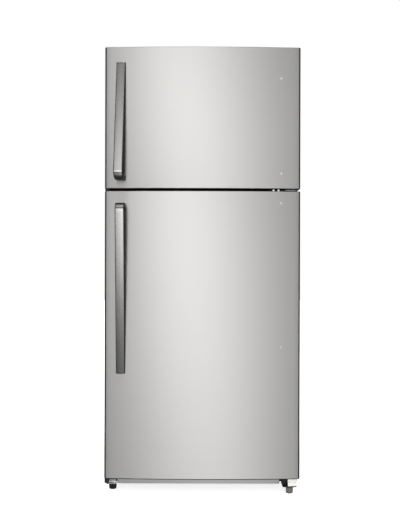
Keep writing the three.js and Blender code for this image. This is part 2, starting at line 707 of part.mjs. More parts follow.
/** End cap: a visible edge plate and a plug inside the skin, bored for the hinge pin. */
function doorCap(door, atTop) {
  const end = atTop ? door.top : door.bottom;
  const inward = atTop ? -1 : 1;
  const span = (from, to) => [end + inward * from, end + inward * to].sort((a, b) => a - b);
  const plate = prismZ(doorOutline(CAP.inset, DOOR.rear - GAP), ...span(0, CAP.plate));
  const plug = prismZ(doorOutline(SHEET + GAP, CORE_REAR), ...span(1, CAP.plate + CAP.plug));
  return cut(join(plate, plug), hingeBore(...span(-PASS, CAP.plate + CAP.plug + PASS)));
}

/** Raised ring of the door liner, shrunk all round by a margin. */
function dikeRing(space, margin, front, rear) {
  const { half, width, corner } = DIKE;
  const [low, high] = [space.bottom + DIKE.margin, space.top - DIKE.margin];
  const outer = roundedRect(half - margin, low + margin, high - margin, corner - margin);
  const core = roundedRect(half - width + margin, low + width - margin, high - width + margin, corner - 14);
  return cut(prismY(outer, front, rear), prismY(core, front - PASS, rear + PASS));
}

function doorLiner(door, space) {
  const half = DOOR.half - SKIN_RETURN - GAP;
  const [low, high] = skinSpan(door);
  const front = DOOR.rear - GAP - LINER;
  const plate = box([-half, front, low], [half, DOOR.rear - GAP, high]);
  const raised = join(plate, dikeRing(space, 0, front + 1, DIKE.rear));
  return cut(raised, dikeRing(space, LINER, front - PASS, DIKE.rear - LINER));
}

function doorFoam(door, space) {
  const core = prismZ(doorOutline(SHEET + GAP, CORE_REAR), ...foamSpan(door));
  return join(core, dikeRing(space, LINER + GAP, CORE_REAR - 1, DIKE.rear - LINER - GAP));
}

function doorGasket(door) {
  const { half, width, margin, corner } = GASKET;
  const [low, high] = [door.bottom + margin, door.top - margin];
  const [front, rear] = [DOOR.rear, CABINET.front - GAP];
  const ring = prismY(roundedRect(half, low, high, corner), front, rear);
  const hole = prismY(roundedRect(half - width, low + width, high - width, 4), front - PASS, rear + PASS);
  return cut(ring, hole);
}

/** Storage bin on the door liner, its front a little lower than its back. */
function doorBin([bottom, top]) {
  const { half, rear, front, wall } = DOOR_BIN;
  const bin = openBin([-half, rear, bottom], [half, front, top], wall);
  return cut(bin, box([-half - PASS, rear + 30, top - 18], [half + PASS, front + PASS, top + PASS]));
}

/**
 * Pull handle, laid out along its length from the flush end (0) to the elbow. It rises from the
 * door in a straight taper, turns over a round elbow and comes back to the door.
 */
function doorHandle({ flush, elbow, lean }) {
  const { x, width, back, front, tip, thick, elbow: radius } = HANDLE;
  const length = Math.abs(elbow - flush);
  const rise = back - front;
  const slope = (rise - tip) / (length - radius);
  const turn = 90 + THREE.MathUtils.radToDeg(Math.atan(slope));
  const centre = [length - radius, rise - radius];
  const liftOff = (Math.hypot(1, slope) * thick - tip) / slope;
  const side = [
    [0, 0],
    [0, tip],
    ...arc(centre, radius, turn, 0, 8),
    [length, 0],
    [length - thick, 0],
    ...arc(centre, radius - thick, 0, turn, 6),
    [liftOff, 0],
  ];
  const direction = Math.sign(elbow - flush);
  const outline = side.map(([along, out]) => [back - out, flush + direction * along]);
  if (direction > 0) outline.reverse();
  const bar = prismX(outline, x - width / 2, x + width / 2);
  const tilt = new THREE.Matrix4().makeShear(0, 0, lean, 0, 0, 0).setPosition(-lean * back, 0, 0);
  return bar.applyMatrix4(tilt);
}

// ---------------------------------------------------------------- finishes and assembly

const FINISHES = {
  stainless: { color: '#c9c8c5', roughness: 0.34, metalness: 0.95 },
  blackPaint: { color: '#1f2022', roughness: 0.6, metalness: 0.2 },
  zincSteel: { color: '#a9abac', roughness: 0.45, metalness: 0.85 },
  greyPlastic: { color: '#85878a', roughness: 0.5, metalness: 0 },
  blackPlastic: { color: '#1a1a1c', roughness: 0.55, metalness: 0 },
  whiteLiner: { color: '#eceeee', roughness: 0.4, metalness: 0 },
  foam: { color: '#d9c27a', roughness: 0.95, metalness: 0 },
  rubber: { color: '#3b3d40', roughness: 0.85, metalness: 0 },
  glass: { color: '#cfe0e2', roughness: 0.08, metalness: 0 },
  clearPlastic: { color: '#d8e4ea', roughness: 0.15, metalness: 0 },
  whitePlastic: { color: '#f1f1ee', roughness: 0.45, metalness: 0 },
  aluminium: { color: '#c4c7c9', roughness: 0.4, metalness: 0.9 },
};

const refrigerator = new THREE.Group();

/** Adds one named sub-part in its own material. */
function add(name, geometry, finish) {
  const mesh = new THREE.Mesh(geometry, new THREE.MeshStandardMaterial(FINISHES[finish]));
  mesh.name = name;
  refrigerator.add(mesh);
}

add('cabinet_shell', cabinetShell(), 'blackPaint');
add('back_panel', backPanel(), 'zincSteel');
add('bottom_pan', bottomPan(), 'zincSteel');
add('insulation_foam', insulationFoam(), 'foam');
add('freezer_liner', freezerLiner(), 'whiteLiner');
add('fridge_liner', fridgeLiner(), 'whiteLiner');
add('centre_rail', centreRail(), 'blackPaint');
add('base_strip', baseStrip(), 'greyPlastic');

add('left_foot_bracket', leftFootBracket(), 'zincSteel');
add('left_foot', levellingFoot(LEFT_FOOT), 'blackPlastic');
add('right_foot', levellingFoot(RIGHT_FOOT), 'greyPlastic');
add('rear_roller_left', rearRoller(-1), 'blackPlastic');
add('rear_roller_right', rearRoller(1), 'blackPlastic');

add('compressor_rail', compressorRail(), 'zincSteel');
add('compressor', compressor(), 'blackPaint');
add('condenser_coil', condenserCoil(), 'blackPaint');
add('drain_pan', drainPan(), 'blackPlastic');
add('rear_cover', rearCover(), 'zincSteel');
add('evaporator', evaporator(), 'aluminium');
add('evaporator_cover', evaporatorCover(), 'whiteLiner');
add('fan_motor', fanMotor(), 'zincSteel');
add('evaporator_fan', evaporatorFan(), 'whitePlastic');

add('freezer_shelf', freezerShelf(), 'whitePlastic');
add('control_housing', controlHousing(), 'whitePlastic');
add('lamp_cover', lampCover(), 'clearPlastic');
add('temperature_knob', temperatureKnob(), 'greyPlastic');
add('light_switch', lightSwitch(), 'whitePlastic');
add('shelf_upper', glassShelf(SHELF.upper), 'glass');
add('shelf_middle', shelfMiddle(), 'glass');
add('deli_drawer', deliDrawer(), 'clearPlastic');
add('crisper_cover', crisperCover(), 'glass');
add('crisper_left', crisper(-1), 'clearPlastic');
add('crisper_right', crisper(1), 'clearPlastic');

add('top_hinge_plate', topHingePlate(), 'zincSteel');
add('top_hinge_pin', topHingePin(), 'zincSteel');
add('top_hinge_cover', topHingeCover(), 'blackPlastic');
add('middle_hinge_bracket', middleHingeBracket(), 'zincSteel');
add('middle_hinge_pin', middleHingePin(), 'zincSteel');
add('bottom_hinge_bracket', bottomHingeBracket(), 'blackPaint');
add('bottom_hinge_pin', bottomHingePin(), 'zincSteel');
add('hinge_cam_lower', hingeCamLower(), 'whitePlastic');
add('hinge_cam_upper', hingeCamUpper(), 'whitePlastic');

const doors = [
  ['freezer', FREEZER_DOOR, FREEZER, FREEZER_HANDLE],
  ['fridge', FRIDGE_DOOR, FRIDGE, FRIDGE_HANDLE],
];
for (const [name, door, space, grip] of doors) {
  add(`${name}_door_skin`, doorSkin(door), 'stainless');
  add(`${name}_door_foam`, doorFoam(door, space), 'foam');
  add(`${name}_door_liner`, doorLiner(door, space), 'whiteLiner');
  add(`${name}_door_top_cap`, doorCap(door, true), 'blackPlastic');
  add(`${name}_door_bottom_cap`, doorCap(door, false), 'blackPlastic');
  add(`${name}_door_gasket`, doorGasket(door), 'rubber');
  add(`${name}_handle`, doorHandle(grip), 'stainless');
}
for (const [name, heights] of Object.entries(BIN_HEIGHTS)) {
  add(name, doorBin(heights), 'clearPlastic');
}

export default refrigerator;
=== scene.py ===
"""Top freezer refrigerator: the finished look of every piece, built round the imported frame.

Lengths are in metres, +Z is up, the doors face -Y and the hinges are on the +X side.
"""

import json
import logging
import math
from collections.abc import Callable, Iterable, Sequence
from dataclasses import dataclass
from enum import Enum

import bmesh
import bpy
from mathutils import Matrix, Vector

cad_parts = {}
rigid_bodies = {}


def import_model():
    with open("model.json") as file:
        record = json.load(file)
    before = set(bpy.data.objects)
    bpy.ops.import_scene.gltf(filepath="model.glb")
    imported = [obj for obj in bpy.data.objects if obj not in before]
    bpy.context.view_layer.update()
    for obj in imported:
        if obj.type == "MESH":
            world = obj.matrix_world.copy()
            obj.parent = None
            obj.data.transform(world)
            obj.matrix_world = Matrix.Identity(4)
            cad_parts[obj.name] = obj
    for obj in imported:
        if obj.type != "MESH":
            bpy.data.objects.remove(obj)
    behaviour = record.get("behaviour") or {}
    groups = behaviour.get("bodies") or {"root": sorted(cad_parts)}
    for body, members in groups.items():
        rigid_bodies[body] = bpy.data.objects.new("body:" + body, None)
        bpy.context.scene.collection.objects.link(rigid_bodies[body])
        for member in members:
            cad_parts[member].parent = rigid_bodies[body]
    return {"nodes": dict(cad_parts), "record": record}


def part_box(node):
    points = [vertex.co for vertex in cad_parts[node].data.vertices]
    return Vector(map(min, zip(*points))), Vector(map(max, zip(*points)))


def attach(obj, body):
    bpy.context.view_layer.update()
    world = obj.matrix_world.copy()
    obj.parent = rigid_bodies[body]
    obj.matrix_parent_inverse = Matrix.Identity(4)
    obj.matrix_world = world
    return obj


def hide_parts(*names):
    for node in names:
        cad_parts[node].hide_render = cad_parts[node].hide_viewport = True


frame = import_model()

LOG = logging.getLogger("refrigerator")
MM = 0.001
SHARP = math.radians(35)
WELD = 0.002 * MM
TINY = 0.01 * MM
UP = Vector((0, 0, 1))
Point = tuple[float, float]
Ring = list[Vector]

# Sockets of the Mix node in its colour mode. They share their names with its other modes.
MIX_FACTOR, MIX_A, MIX_B, MIX_RESULT = 0, 6, 7, 2


# --------------------------------------------------------------------------- materials


def linear(code: str, alpha: float = 1.0) -> tuple[float, float, float, float]:
    """Turns an sRGB hex colour into linear light.

    Args:
        code: colour as "#rrggbb".
        alpha: opacity of the result.

    Returns:
        Linear red, green, blue and the alpha.
    """
    channels = [int(code[i : i + 2], 16) / 255 for i in (1, 3, 5)]
    light = [c / 12.92 if c <= 0.04045 else ((c + 0.055) / 1.055) ** 2.4 for c in channels]
    return (*light, alpha)


def add_node(
    tree: bpy.types.NodeTree,
    kind: str,
    settings: dict[str | int, object] | None = None,
    links: dict[str | int, bpy.types.NodeSocket] | None = None,
) -> bpy.types.Node:
    """Adds a node, sets its properties and unlinked inputs, and links the rest.

    Args:
        tree: node tree that the node joins.
        kind: Blender's node type name.
        settings: property or input names, each with its value.
        links: input names, each with the socket that feeds it.

    Returns:
        The new node.
    """
    node = tree.nodes.new(kind)
    for key, value in (settings or {}).items():
        if isinstance(key, str) and hasattr(node, key):
            setattr(node, key, value)
        else:
            node.inputs[key].default_value = value
    for key, socket in (links or {}).items():
        tree.links.new(socket, node.inputs[key])
    return node


@dataclass(frozen=True)
class Finish:
    """A material and how its surface was made, drawn as one procedural shader.

    The pattern is a noise of a real grain size, which shades the colour and the roughness and
    raises a small bump. Stretching it makes the streaks of a brushed or extruded surface.
    """

    name: str
    slot: str
    colour: str
    roughness: float
    metallic: float = 0.0
    grain: float = 2 * MM
    stretch: tuple[float, float, float] = (1.0, 1.0, 1.0)
    colour_swing: float = 0.06
    rough_swing: float = 0.06
    bump: float = 0.1
    ior: float = 1.5
    anisotropic: float = 0.0
    turn: float = 0.0
    coat: float = 0.0
    subsurface: float = 0.0

    def material(self) -> bpy.types.Material:
        """Makes the material of this finish, or finds it if it is already made.

        Returns:
            The material, ready to put on a mesh.
        """
        made = bpy.data.materials.get(self.name)
        if made:
            return made
        made = bpy.data.materials.new(self.name)
        made.use_nodes = True
        tree = made.node_tree
        tree.nodes.clear()
        shader = self.shader(tree)
        add_node(tree, "ShaderNodeOutputMaterial", links={"Surface": shader.outputs["BSDF"]})
        return made

    def pattern(self, tree: bpy.types.NodeTree) -> bpy.types.NodeSocket:
        """Draws the grain of this surface.

        Args:
            tree: node tree of the material.

        Returns:
            Socket with the grain as a value from 0 to 1.
        """
        place = add_node(tree, "ShaderNodeTexCoord")
        scale = tuple(1 / (self.grain * s) for s in self.stretch)
        points = add_node(
            tree, "ShaderNodeMapping", {"Scale": scale}, {"Vector": place.outputs["Object"]}
        )
        noise = add_node(
            tree,
            "ShaderNodeTexNoise",
            {"Scale": 1.0, "Detail": 3.0, "Roughness": 0.6},
            {"Vector": points.outputs["Vector"]},
        )
        return noise.outputs["Fac"]

    def shader(self, tree: bpy.types.NodeTree) -> bpy.types.Node:
        """Adds the surface shader and links its patterns in.

        Args:
            tree: node tree of the material.

        Returns:
            The shader node.
        """
        grain = self.pattern(tree)
        base = linear(self.colour)
        dark = tuple(c * (1 - self.colour_swing) for c in base[:3]) + (1.0,)
        light = tuple(min(c * (1 + self.colour_swing), 1) for c in base[:3]) + (1.0,)
        colour = add_node(
            tree,
            "ShaderNodeMix",
            {"data_type": "RGBA", MIX_A: dark, MIX_B: light},
            {MIX_FACTOR: grain},
        )
        rough = add_node(
            tree,
            "ShaderNodeMapRange",
            {
                "To Min": max(self.roughness - self.rough_swing, 0.02),
                "To Max": min(self.roughness + self.rough_swing, 1.0),
            },
            {"Value": grain},
        )
        relief = add_node(
            tree,
            "ShaderNodeBump",
            {"Strength": self.bump, "Distance": self.grain},
            {"Height": grain},
        )
        links = {
            "Base Color": colour.outputs[MIX_RESULT],
            "Roughness": rough.outputs["Result"],
            "Normal": relief.outputs["Normal"],
        }
        if self.anisotropic:
            tangent = add_node(
                tree,
                "ShaderNodeVectorTransform",
                {
                    "vector_type": "VECTOR",
                    "convert_from": "OBJECT",
                    "convert_to": "WORLD",
                    "Vector": (1, 0, 0),
                },
            )
            links["Tangent"] = tangent.outputs["Vector"]
        settings = {
            "Metallic": self.metallic,
            "IOR": self.ior,
            "Anisotropic": self.anisotropic,
            "Anisotropic Rotation": self.turn,
            "Coat Weight": self.coat,
            "Subsurface Weight": self.subsurface,
            "Subsurface Scale": 2 * MM,
        }
        return add_node(tree, "ShaderNodeBsdfPrincipled", settings, links)


@dataclass(frozen=True)
class CellFinish(Finish):
    """A surface broken into cells, such as zinc spangle or cut foam."""

    def pattern(self, tree: bpy.types.NodeTree) -> bpy.types.NodeSocket:
        """Draws the cells of this surface.

        Args:
            tree: node tree of the material.

        Returns:
            Socket with the tone of each cell as a value from 0 to 1.
        """
        place = add_node(tree, "ShaderNodeTexCoord")
        cells = add_node(
            tree,
            "ShaderNodeTexVoronoi",
            {"Scale": 1 / self.grain},
            {"Vector": place.outputs["Object"]},
        )
        tone = add_node(tree, "ShaderNodeSeparateColor", links={"Color": cells.outputs["Color"]})
        return tone.outputs["Red"]


@dataclass(frozen=True)
class ClearFinish(Finish):
    """A clear sheet: see-through face on, denser where it turns edge on to the eye."""

    face: float = 0.16
    rim: float = 0.8

    def shader(self, tree: bpy.types.NodeTree) -> bpy.types.Node:
        """Adds the surface shader, its opacity linked to the slant of the surface.

        Args:
            tree: node tree of the material.

        Returns:
            The shader node.
        """
        shader = super().shader(tree)
        slant = add_node(tree, "ShaderNodeLayerWeight", {"Blend": 0.4})
        dense = add_node(
            tree,
            "ShaderNodeMapRange",
            {"To Min": self.face, "To Max": self.rim},
            {"Value": slant.outputs["Facing"]},
        )
        tree.links.new(dense.outputs["Result"], shader.inputs["Alpha"])
        return shader


# Ferritic stainless sheet, brushed across the door: hairlines along X smear every reflection
# up and down, so a soft light shows as a tall bright column. The hairlines are drawn a few
# times coarser than the real 0.1 mm, or they would vanish at arm's length.
DOOR_STEEL = Finish(
    "brushed_stainless_sheet",
    "stainless",
    "#dddcda",
    0.42,
    metallic=1.0,
    grain=0.5 * MM,
    stretch=(160.0, 160.0, 1.0),
    colour_swing=0.025,
    rough_swing=0.03,
    bump=0.03,
    anisotropic=0.95,
    turn=0.25,
)
# The returns of the door sheet: the same coil lacquered black, smooth and satin; on the outer part
# of the rounded front edges the black is painted shade.
RETURN_LACQUER_EDGE_SHADE = Finish(
    "black_lacquer_edge_shade_sheet", "black_paint", "#191a1b", 0.32, grain=1.5 * MM, bump=0.04, coat=0.2
)
# The same steel drawn along the bar and polished a little further: reflections stay sharp
# along the handle, so its taper runs from dark to light. The belt marks are drawn at 1.8 mm,
# some ten times their real width, so that they show as faint streaks.
HANDLE_STEEL = Finish(
    "linished_stainless_bar",
    "stainless",
    "#b6b5b3",
    0.25,
    metallic=1.0,
    grain=1.8 * MM,
    stretch=(1.0, 1.0, 90.0),
    colour_swing=0.11,
    rough_swing=0.05,
    bump=0.05,
    anisotropic=0.8,
)
# Silver lacquer over ABS, as on the strip below the doors: fine metal flake that lies in rows
# along the strip, so it brightens towards the middle of the light as the doors do.
SILVER_LACQUER = Finish(
    "silver_lacquered_abs",
    "grey_plastic",
    "#a6a7a8",
    0.36,
    metallic=0.85,
    grain=0.6 * MM,
    stretch=(60.0, 1.0, 1.0),
    colour_swing=0.05,
    bump=0.05,
    anisotropic=0.9,
    turn=0.25,
    coat=0.2,
)
# Polyester powder coat with a fine orange peel: black, broad soft highlights.
CASE_PAINT = Finish(
    "textured_black_powder_coat",
    "black_paint",
    "#1c1d1f",
    0.5,
    grain=1.6 * MM,
    colour_swing=0.12,
    bump=0.35,
    coat=0.15,
)
# Enamelled compressor and coil: thicker and glossier than the case.
BLACK_ENAMEL = Finish(
    "dipped_black_enamel", "black_paint", "#151517", 0.28, grain=6 * MM, bump=0.08, coat=0.4
)
# Hot dip galvanised sheet: grey spangles of slightly different brightness.
GALVANISED = CellFinish(
    "galvanised_steel_sheet",
    "zinc_steel",
    "#aeb1b3",
    0.42,
    metallic=1.0,
    grain=7 * MM,
    colour_swing=0.14,
    rough_swing=0.09,
    bump=0.02,
)
# Bright zinc plate on hinges and pins: fine, clean and a little blue.
ZINC_PLATE = Finish(
    "bright_zinc_plate",
    "zinc_steel",
    "#c6c8c9",
    0.24,
    metallic=1.0,
    grain=1.2 * MM,
    colour_swing=0.08,
    bump=0.06,
)
# Zinc plate passivated to a dull grey, on the hinge plates.
HINGE_PLATE = Finish(
    "grey_passivated_zinc_plate",
    "zinc_steel",
    "#7f8183",
    0.34,
    metallic=1.0,
    grain=1.4 * MM,
    colour_swing=0.1,
    bump=0.06,
)
# Moulded ABS in silver grey, spark eroded tool finish: dull with a fine even tooth.
GREY_ABS = Finish(
    "moulded_grey_abs", "grey_plastic", "#9b9c9e", 0.46, grain=0.8 * MM, bump=0.12, ior=1.53
)
# The right foot: the same resin in a darker grey, worn a little smoother.
FOOT_ABS = Finish(
    "moulded_dark_grey_abs", "grey_plastic", "#5f6062", 0.42, grain=0.8 * MM, bump=0.12, ior=1.53
)
# The hole plugs: pale, polished by the tool, so each dome holds one small highlight.
PLUG_ABS = Finish(
    "polished_pale_grey_abs", "grey_plastic", "#a8aaaa", 0.2, grain=0.8 * MM, bump=0.02, ior=1.53
)
# Carbon black polypropylene from an etched tool: waxy and half matt, with a broad weak shine.
BLACK_PP = Finish(
    "moulded_black_polypropylene", "black_plastic", "#161617", 0.5, grain=1.0 * MM, bump=0.15
)
# Thermoformed polystyrene liner: white, waxy, faintly wavy from the mould.
LINER_HIPS = Finish(
    "thermoformed_white_polystyrene",
    "white_liner",
    "#dcdedd",
    0.34,
    grain=14 * MM,
    colour_swing=0.012,
    rough_swing=0.03,
    bump=0.03,
    ior=1.59,
    subsurface=0.1,
)
# Poured polyurethane foam: straw coloured, open cut cells.
FOAM_PU = CellFinish(
    "poured_polyurethane_foam",
    "foam",
    "#dcc583",
    0.95,
    grain=2.5 * MM,
    colour_swing=0.1,
    bump=0.5,
)
# Extruded soft PVC gasket: grey, matt, lines along the extrusion.
GASKET_PVC = Finish(
    "extruded_grey_pvc", "rubber", "#6e7072", 0.7, grain=0.8 * MM, bump=0.15, ior=1.52
)
# Toughened float glass with its green edge.
SHELF_GLASS = ClearFinish(
    "toughened_float_glass",
    "glass",
    "#b9d6cb",
    0.05,
    grain=60 * MM,
    colour_swing=0.02,
    rough_swing=0.02,
    bump=0.0,
    ior=1.52,
    face=0.14,
    rim=0.75,
)
# Clear moulded polystyrene bins and drawers: faintly blue, soft moulding ripples.
CLEAR_PS = ClearFinish(
    "moulded_clear_polystyrene",
    "clear_plastic",
    "#d5e1e6",
    0.12,
    grain=18 * MM,
    colour_swing=0.02,
    rough_swing=0.04,
    bump=0.04,
    ior=1.59,
    face=0.2,
    rim=0.85,
)
# White ABS from a fine blasted tool: warm, even and softly matt.
WHITE_ABS = Finish(
    "moulded_white_abs", "white_plastic", "#e6e6e3", 0.4, grain=0.9 * MM, bump=0.08, ior=1.53
)
# Steel wire with a fused PVC coat: white, rounded, slightly uneven.
COATED_WIRE = Finish(
    "pvc_coated_wire", "white_plastic", "#eeefec", 0.32, grain=3 * MM, bump=0.05, ior=1.52
)
# Acetal cams: milky, greasy shine, slightly translucent.
CAM_ACETAL = Finish(
    "moulded_white_acetal",
    "white_plastic",
    "#d9d8d3",
    0.3,
    grain=1.5 * MM,
    colour_swing=0.02,
    bump=0.04,
    ior=1.48,
    subsurface=0.25,
)
# Mill finish aluminium fins and tube: rolled streaks, soft shine.
MILL_ALUMINIUM = Finish(
    "mill_finish_aluminium",
    "aluminium",
    "#c8cacc",
    0.36,
    metallic=1.0,
    grain=1.5 * MM,
    stretch=(1.0, 1.0, 30.0),
    colour_swing=0.06,
    bump=0.05,
)


# --------------------------------------------------------------------------- mesh making


class Edge(Enum):
    """How far an edge is rounded, by how the piece is made."""

    FOLDED = 0.4 * MM
    STAMPED = 0.6 * MM
    MOULDED = 1.2 * MM
    SOFT = 2.4 * MM
    NONE = 0.0


def mesh_object(
    name: str,
    points: Iterable[Vector],
    faces: Sequence[Sequence[int]],
    finish: Finish,
    edge: Edge = Edge.NONE,
) -> bpy.types.Object:
    """Makes a smooth shaded mesh object in the scene.

    Args:
        name: name of the piece.
        points: vertex positions.
        faces: vertex numbers of each face.
        finish: material of the whole piece.
        edge: rounding of its sharp edges.

    Returns:
        The new object.
    """
    mesh = bpy.data.meshes.new(name)
    mesh.from_pydata([tuple(p) for p in points], [], [list(f) for f in faces])
    solid = bmesh.new()
    solid.from_mesh(mesh)
    bmesh.ops.recalc_face_normals(solid, faces=solid.faces)
    solid.to_mesh(mesh)
    solid.free()
    return finished(name, mesh, finish, edge)


def finished(
    name: str, mesh: bpy.types.Mesh, finish: Finish, edge: Edge
) -> bpy.types.Object:
    """Puts a mesh in the scene, shades it smooth and rounds its sharp edges.

    Args:
        name: name of the piece.
        mesh: its mesh.
        finish: material of the whole piece.
        edge: rounding of its sharp edges.

    Returns:
        The new object, with the material of its finish.
    """
    mesh.materials.clear()
    mesh.materials.append(finish.material())
    mesh.polygons.foreach_set("use_smooth", [True] * len(mesh.polygons))
    made = bpy.data.objects.new(name, mesh)
    bpy.context.scene.collection.objects.link(made)
    if edge is Edge.NONE:
        mesh.set_sharp_from_angle(angle=SHARP)
    else:
        bevel = made.modifiers.new("rounding", "BEVEL")
        bevel.width = edge.value
        bevel.segments = 2
        bevel.limit_method = "ANGLE"
        bevel.angle_limit = SHARP
        bevel.use_clamp_overlap = True
        bevel.harden_normals = False
        weighted = made.modifiers.new("flat_faces", "WEIGHTED_NORMAL")
        weighted.keep_sharp = True
    return made


def softened(node: str, finish: Finish, edge: Edge) -> bpy.types.Object:
    """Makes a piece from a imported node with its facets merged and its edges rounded.

    Args:
        node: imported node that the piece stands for.
        finish: material of the piece.
        edge: rounding of its sharp edges.

    Returns:
        The new object, riding on the node's body.
    """
    solid = bmesh.new()
    solid.from_mesh(frame["nodes"][node].data)
    bmesh.ops.remove_doubles(solid, verts=solid.verts, dist=WELD)
    bmesh.ops.dissolve_limit(
        solid, angle_limit=math.radians(1), verts=solid.verts, edges=solid.edges
    )
    bmesh.ops.recalc_face_normals(solid, faces=solid.faces)
    mesh = bpy.data.meshes.new(f"{node}_made")
    solid.to_mesh(mesh)
    solid.free()
    return stand_for(finished(f"{node}_made", mesh, finish, edge), node)


def body_of(node: str) -> str:
    """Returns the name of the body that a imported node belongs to."""
    groups = frame["record"]["behaviour"]["bodies"]
    return next(body for body, nodes in groups.items() if node in nodes)


def stand_for(piece: bpy.types.Object, node: str) -> bpy.types.Object:
    """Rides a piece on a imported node's body and hides the node.

    Args:
        piece: the finished piece.
        node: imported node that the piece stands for.

    Returns:
        The same piece.
    """
    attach(piece, body_of(node))
    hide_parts(node)
    return piece


def ride_with(piece: bpy.types.Object, node: str) -> bpy.types.Object:
    """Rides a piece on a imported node's body, beside the node. Returns the piece."""
    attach(piece, body_of(node))
    return piece


def dressed(node: str, finish: Finish) -> None:
    """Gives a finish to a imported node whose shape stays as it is.

    Args:
        node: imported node.
        finish: material of the node.
    """
    shown = frame["nodes"][node]
    shown.data.materials.clear()
    shown.data.materials.append(finish.material())
    LOG.info("dressed %s in %s", node, finish.name)


def arc(centre: Point, radius: float, start: float, end: float, steps: int) -> list[Point]:
    """Returns points of an arc about a centre, from one angle to another in degrees."""
    turns = [math.radians(start + (end - start) * i / steps) for i in range(steps + 1)]
    return [(centre[0] + radius * math.cos(t), centre[1] + radius * math.sin(t)) for t in turns]


def rounded_rect(low: Point, high: Point, radius: float, steps: int = 4) -> list[Point]:
    """Draws a rounded rectangle anticlockwise, from its lower right corner.

    Args:
        low: lower left corner.
        high: upper right corner.
        radius: rounding of the corners, made smaller where the rectangle is too narrow for it.
        steps: steps in each rounded corner.

    Returns:
        The points of the outline.
    """
    widest = min(high[0] - low[0], high[1] - low[1]) / 2.001
    radius = max(min(radius, widest), TINY)
    return [
        *arc((high[0] - radius, low[1] + radius), radius, -90, 0, steps),
        *arc((high[0] - radius, high[1] - radius), radius, 0, 90, steps),
        *arc((low[0] + radius, high[1] - radius), radius, 90, 180, steps),
        *arc((low[0] + radius, low[1] + radius), radius, 180, 270, steps),
    ]


def lofted(
    name: str,
    rings: Sequence[Ring],
    finish: Finish,
    closed: bool = True,
    looped: bool = False,
    edge: Edge = Edge.NONE,
) -> bpy.types.Object:
    """Skins a row of rings that all have the same number of points.

    Args:
        name: name of the piece.
        rings: rings in order.
        finish: material of the piece.
        closed: whether each ring closes on itself.
        looped: whether the last ring joins the first, in place of end faces.
        edge: rounding of its sharp edges.

    Returns:
        The new object, a closed solid.
    """
    count = len(rings[0])
    points = [p for ring in rings for p in ring]
    spans = count if closed else count - 1
    joins = len(rings) if looped else len(rings) - 1
    faces: list[list[int]] = []
    for i in range(joins):
        a, b = i * count, ((i + 1) % len(rings)) * count
        for j in range(spans):
            k = (j + 1) % count
            faces.append([a + j, a + k, b + k, b + j])
    if not looped:
        last = (len(rings) - 1) * count
        faces.append(list(range(count))[::-1])
        faces.append(list(range(last, last + count)))
    if not closed:
        faces.append([i * count for i in range(len(rings))])
        faces.append([i * count + count - 1 for i in range(len(rings))][::-1])
    return mesh_object(name, points, faces, finish, edge)


def turned(
    name: str,
    profile: Sequence[Point],
    origin: Vector,
    axis: Vector,
    finish: Finish,
    sides: int = 48,
    edge: Edge = Edge.NONE,
    wobble: Callable[[float, float], float] | None = None,
) -> bpy.types.Object:
    """Turns a profile of (radius, height) points about an axis.

    Args:
        name: name of the piece.
        profile: points from one end of the axis to the other.
        origin: point on the axis at height 0.
        axis: direction of growing height.
        finish: material of the piece.
        sides: points round the axis.
        edge: rounding of its sharp edges.
        wobble: factor on the radius for an angle in radians and a height.

    Returns:
        The new object.
    """
    turn = axis.to_track_quat("Z", "X")
    rings = []
    for radius, height in profile:
        ring = []
        for i in range(sides):
            angle = 2 * math.pi * i / sides
            reach = max(radius, TINY) * (wobble(angle, height) if wobble else 1.0)
            spot = Vector((reach * math.cos(angle), reach * math.sin(angle), height))
            ring.append(origin + turn @ spot)
        rings.append(ring)
    return lofted(name, rings, finish, edge=edge)


def wire(
    path: Sequence[Vector], radius: float, sides: int = 10
) -> tuple[list[Vector], list[list[int]]]:
    """Draws a round wire along a path, with closed ends.

    Args:
        path: points along the middle of the wire.
        radius: radius of the wire.
        sides: points round it.

    Returns:
        The points and the faces of the wire.
    """
    points: list[Vector] = []
    faces: list[list[int]] = []
    side = None
    for i, spot in enumerate(path):
        ahead = path[min(i + 1, len(path) - 1)] - path[max(i - 1, 0)]
        ahead.normalize()
        if side is None:
            side = ahead.orthogonal().normalized()
        side = (side - ahead * side.dot(ahead)).normalized()
        up = ahead.cross(side)
        for j in range(sides):
            angle = 2 * math.pi * j / sides
            points.append(spot + (side * math.cos(angle) + up * math.sin(angle)) * radius)
    for i in range(len(path) - 1):
        for j in range(sides):
            k = (j + 1) % sides
            faces.append([i * sides + j, i * sides + k, (i + 1) * sides + k, (i + 1) * sides + j])
    last = (len(path) - 1) * sides
    faces.append(list(range(sides))[::-1])
    faces.append(list(range(last, last + sides)))
    return points, faces


# --------------------------------------------------------------------------- doors


@dataclass
class DoorPlan:
    """Plan view shared by both doors: a shallow bow between two small rounded edges."""

    half: float = 375 * MM
    rear: float = -278 * MM
    edge: float = -333 * MM
    apex: float = -343 * MM
    corner: float = 8 * MM
    steps: int = 56
    corner_steps: int = 8

    def front(self, x: float, inset: float = 0.0) -> float:
        """Finds the bowed front at a place across the door.

        Args:
            x: place across the door.
            inset: depth below the outer face.

        Returns:
            Y of the front there.
        """
        bow = self.edge - self.apex
        radius = (self.half**2 + bow**2) / (2 * bow)
        return self.apex + radius - math.sqrt((radius - inset) ** 2 - x**2)

    def outline(self, inset: float, rear: float) -> list[Point]:
        """Draws the plan of a door.

        Args:
            inset: depth below the outer face.
            rear: Y of the two rear ends.

        Returns:
            Points from the rear left edge, round the front, to the rear right edge.
        """
        half = self.half - inset
        radius = max(self.corner - inset, 0.4 * MM)
        bend = half - radius
        middle = self.front(bend, inset) + radius
        across = [-bend + 2 * bend * (i + 1) / self.steps for i in range(self.steps - 1)]
        return [
            (-half, rear),
            *arc((-bend, middle), radius, 180, 270, self.corner_steps),
            *[(x, self.front(x, inset)) for x in across],
            *arc((bend, middle), radius, 270, 360, self.corner_steps),
            (half, rear),
        ]


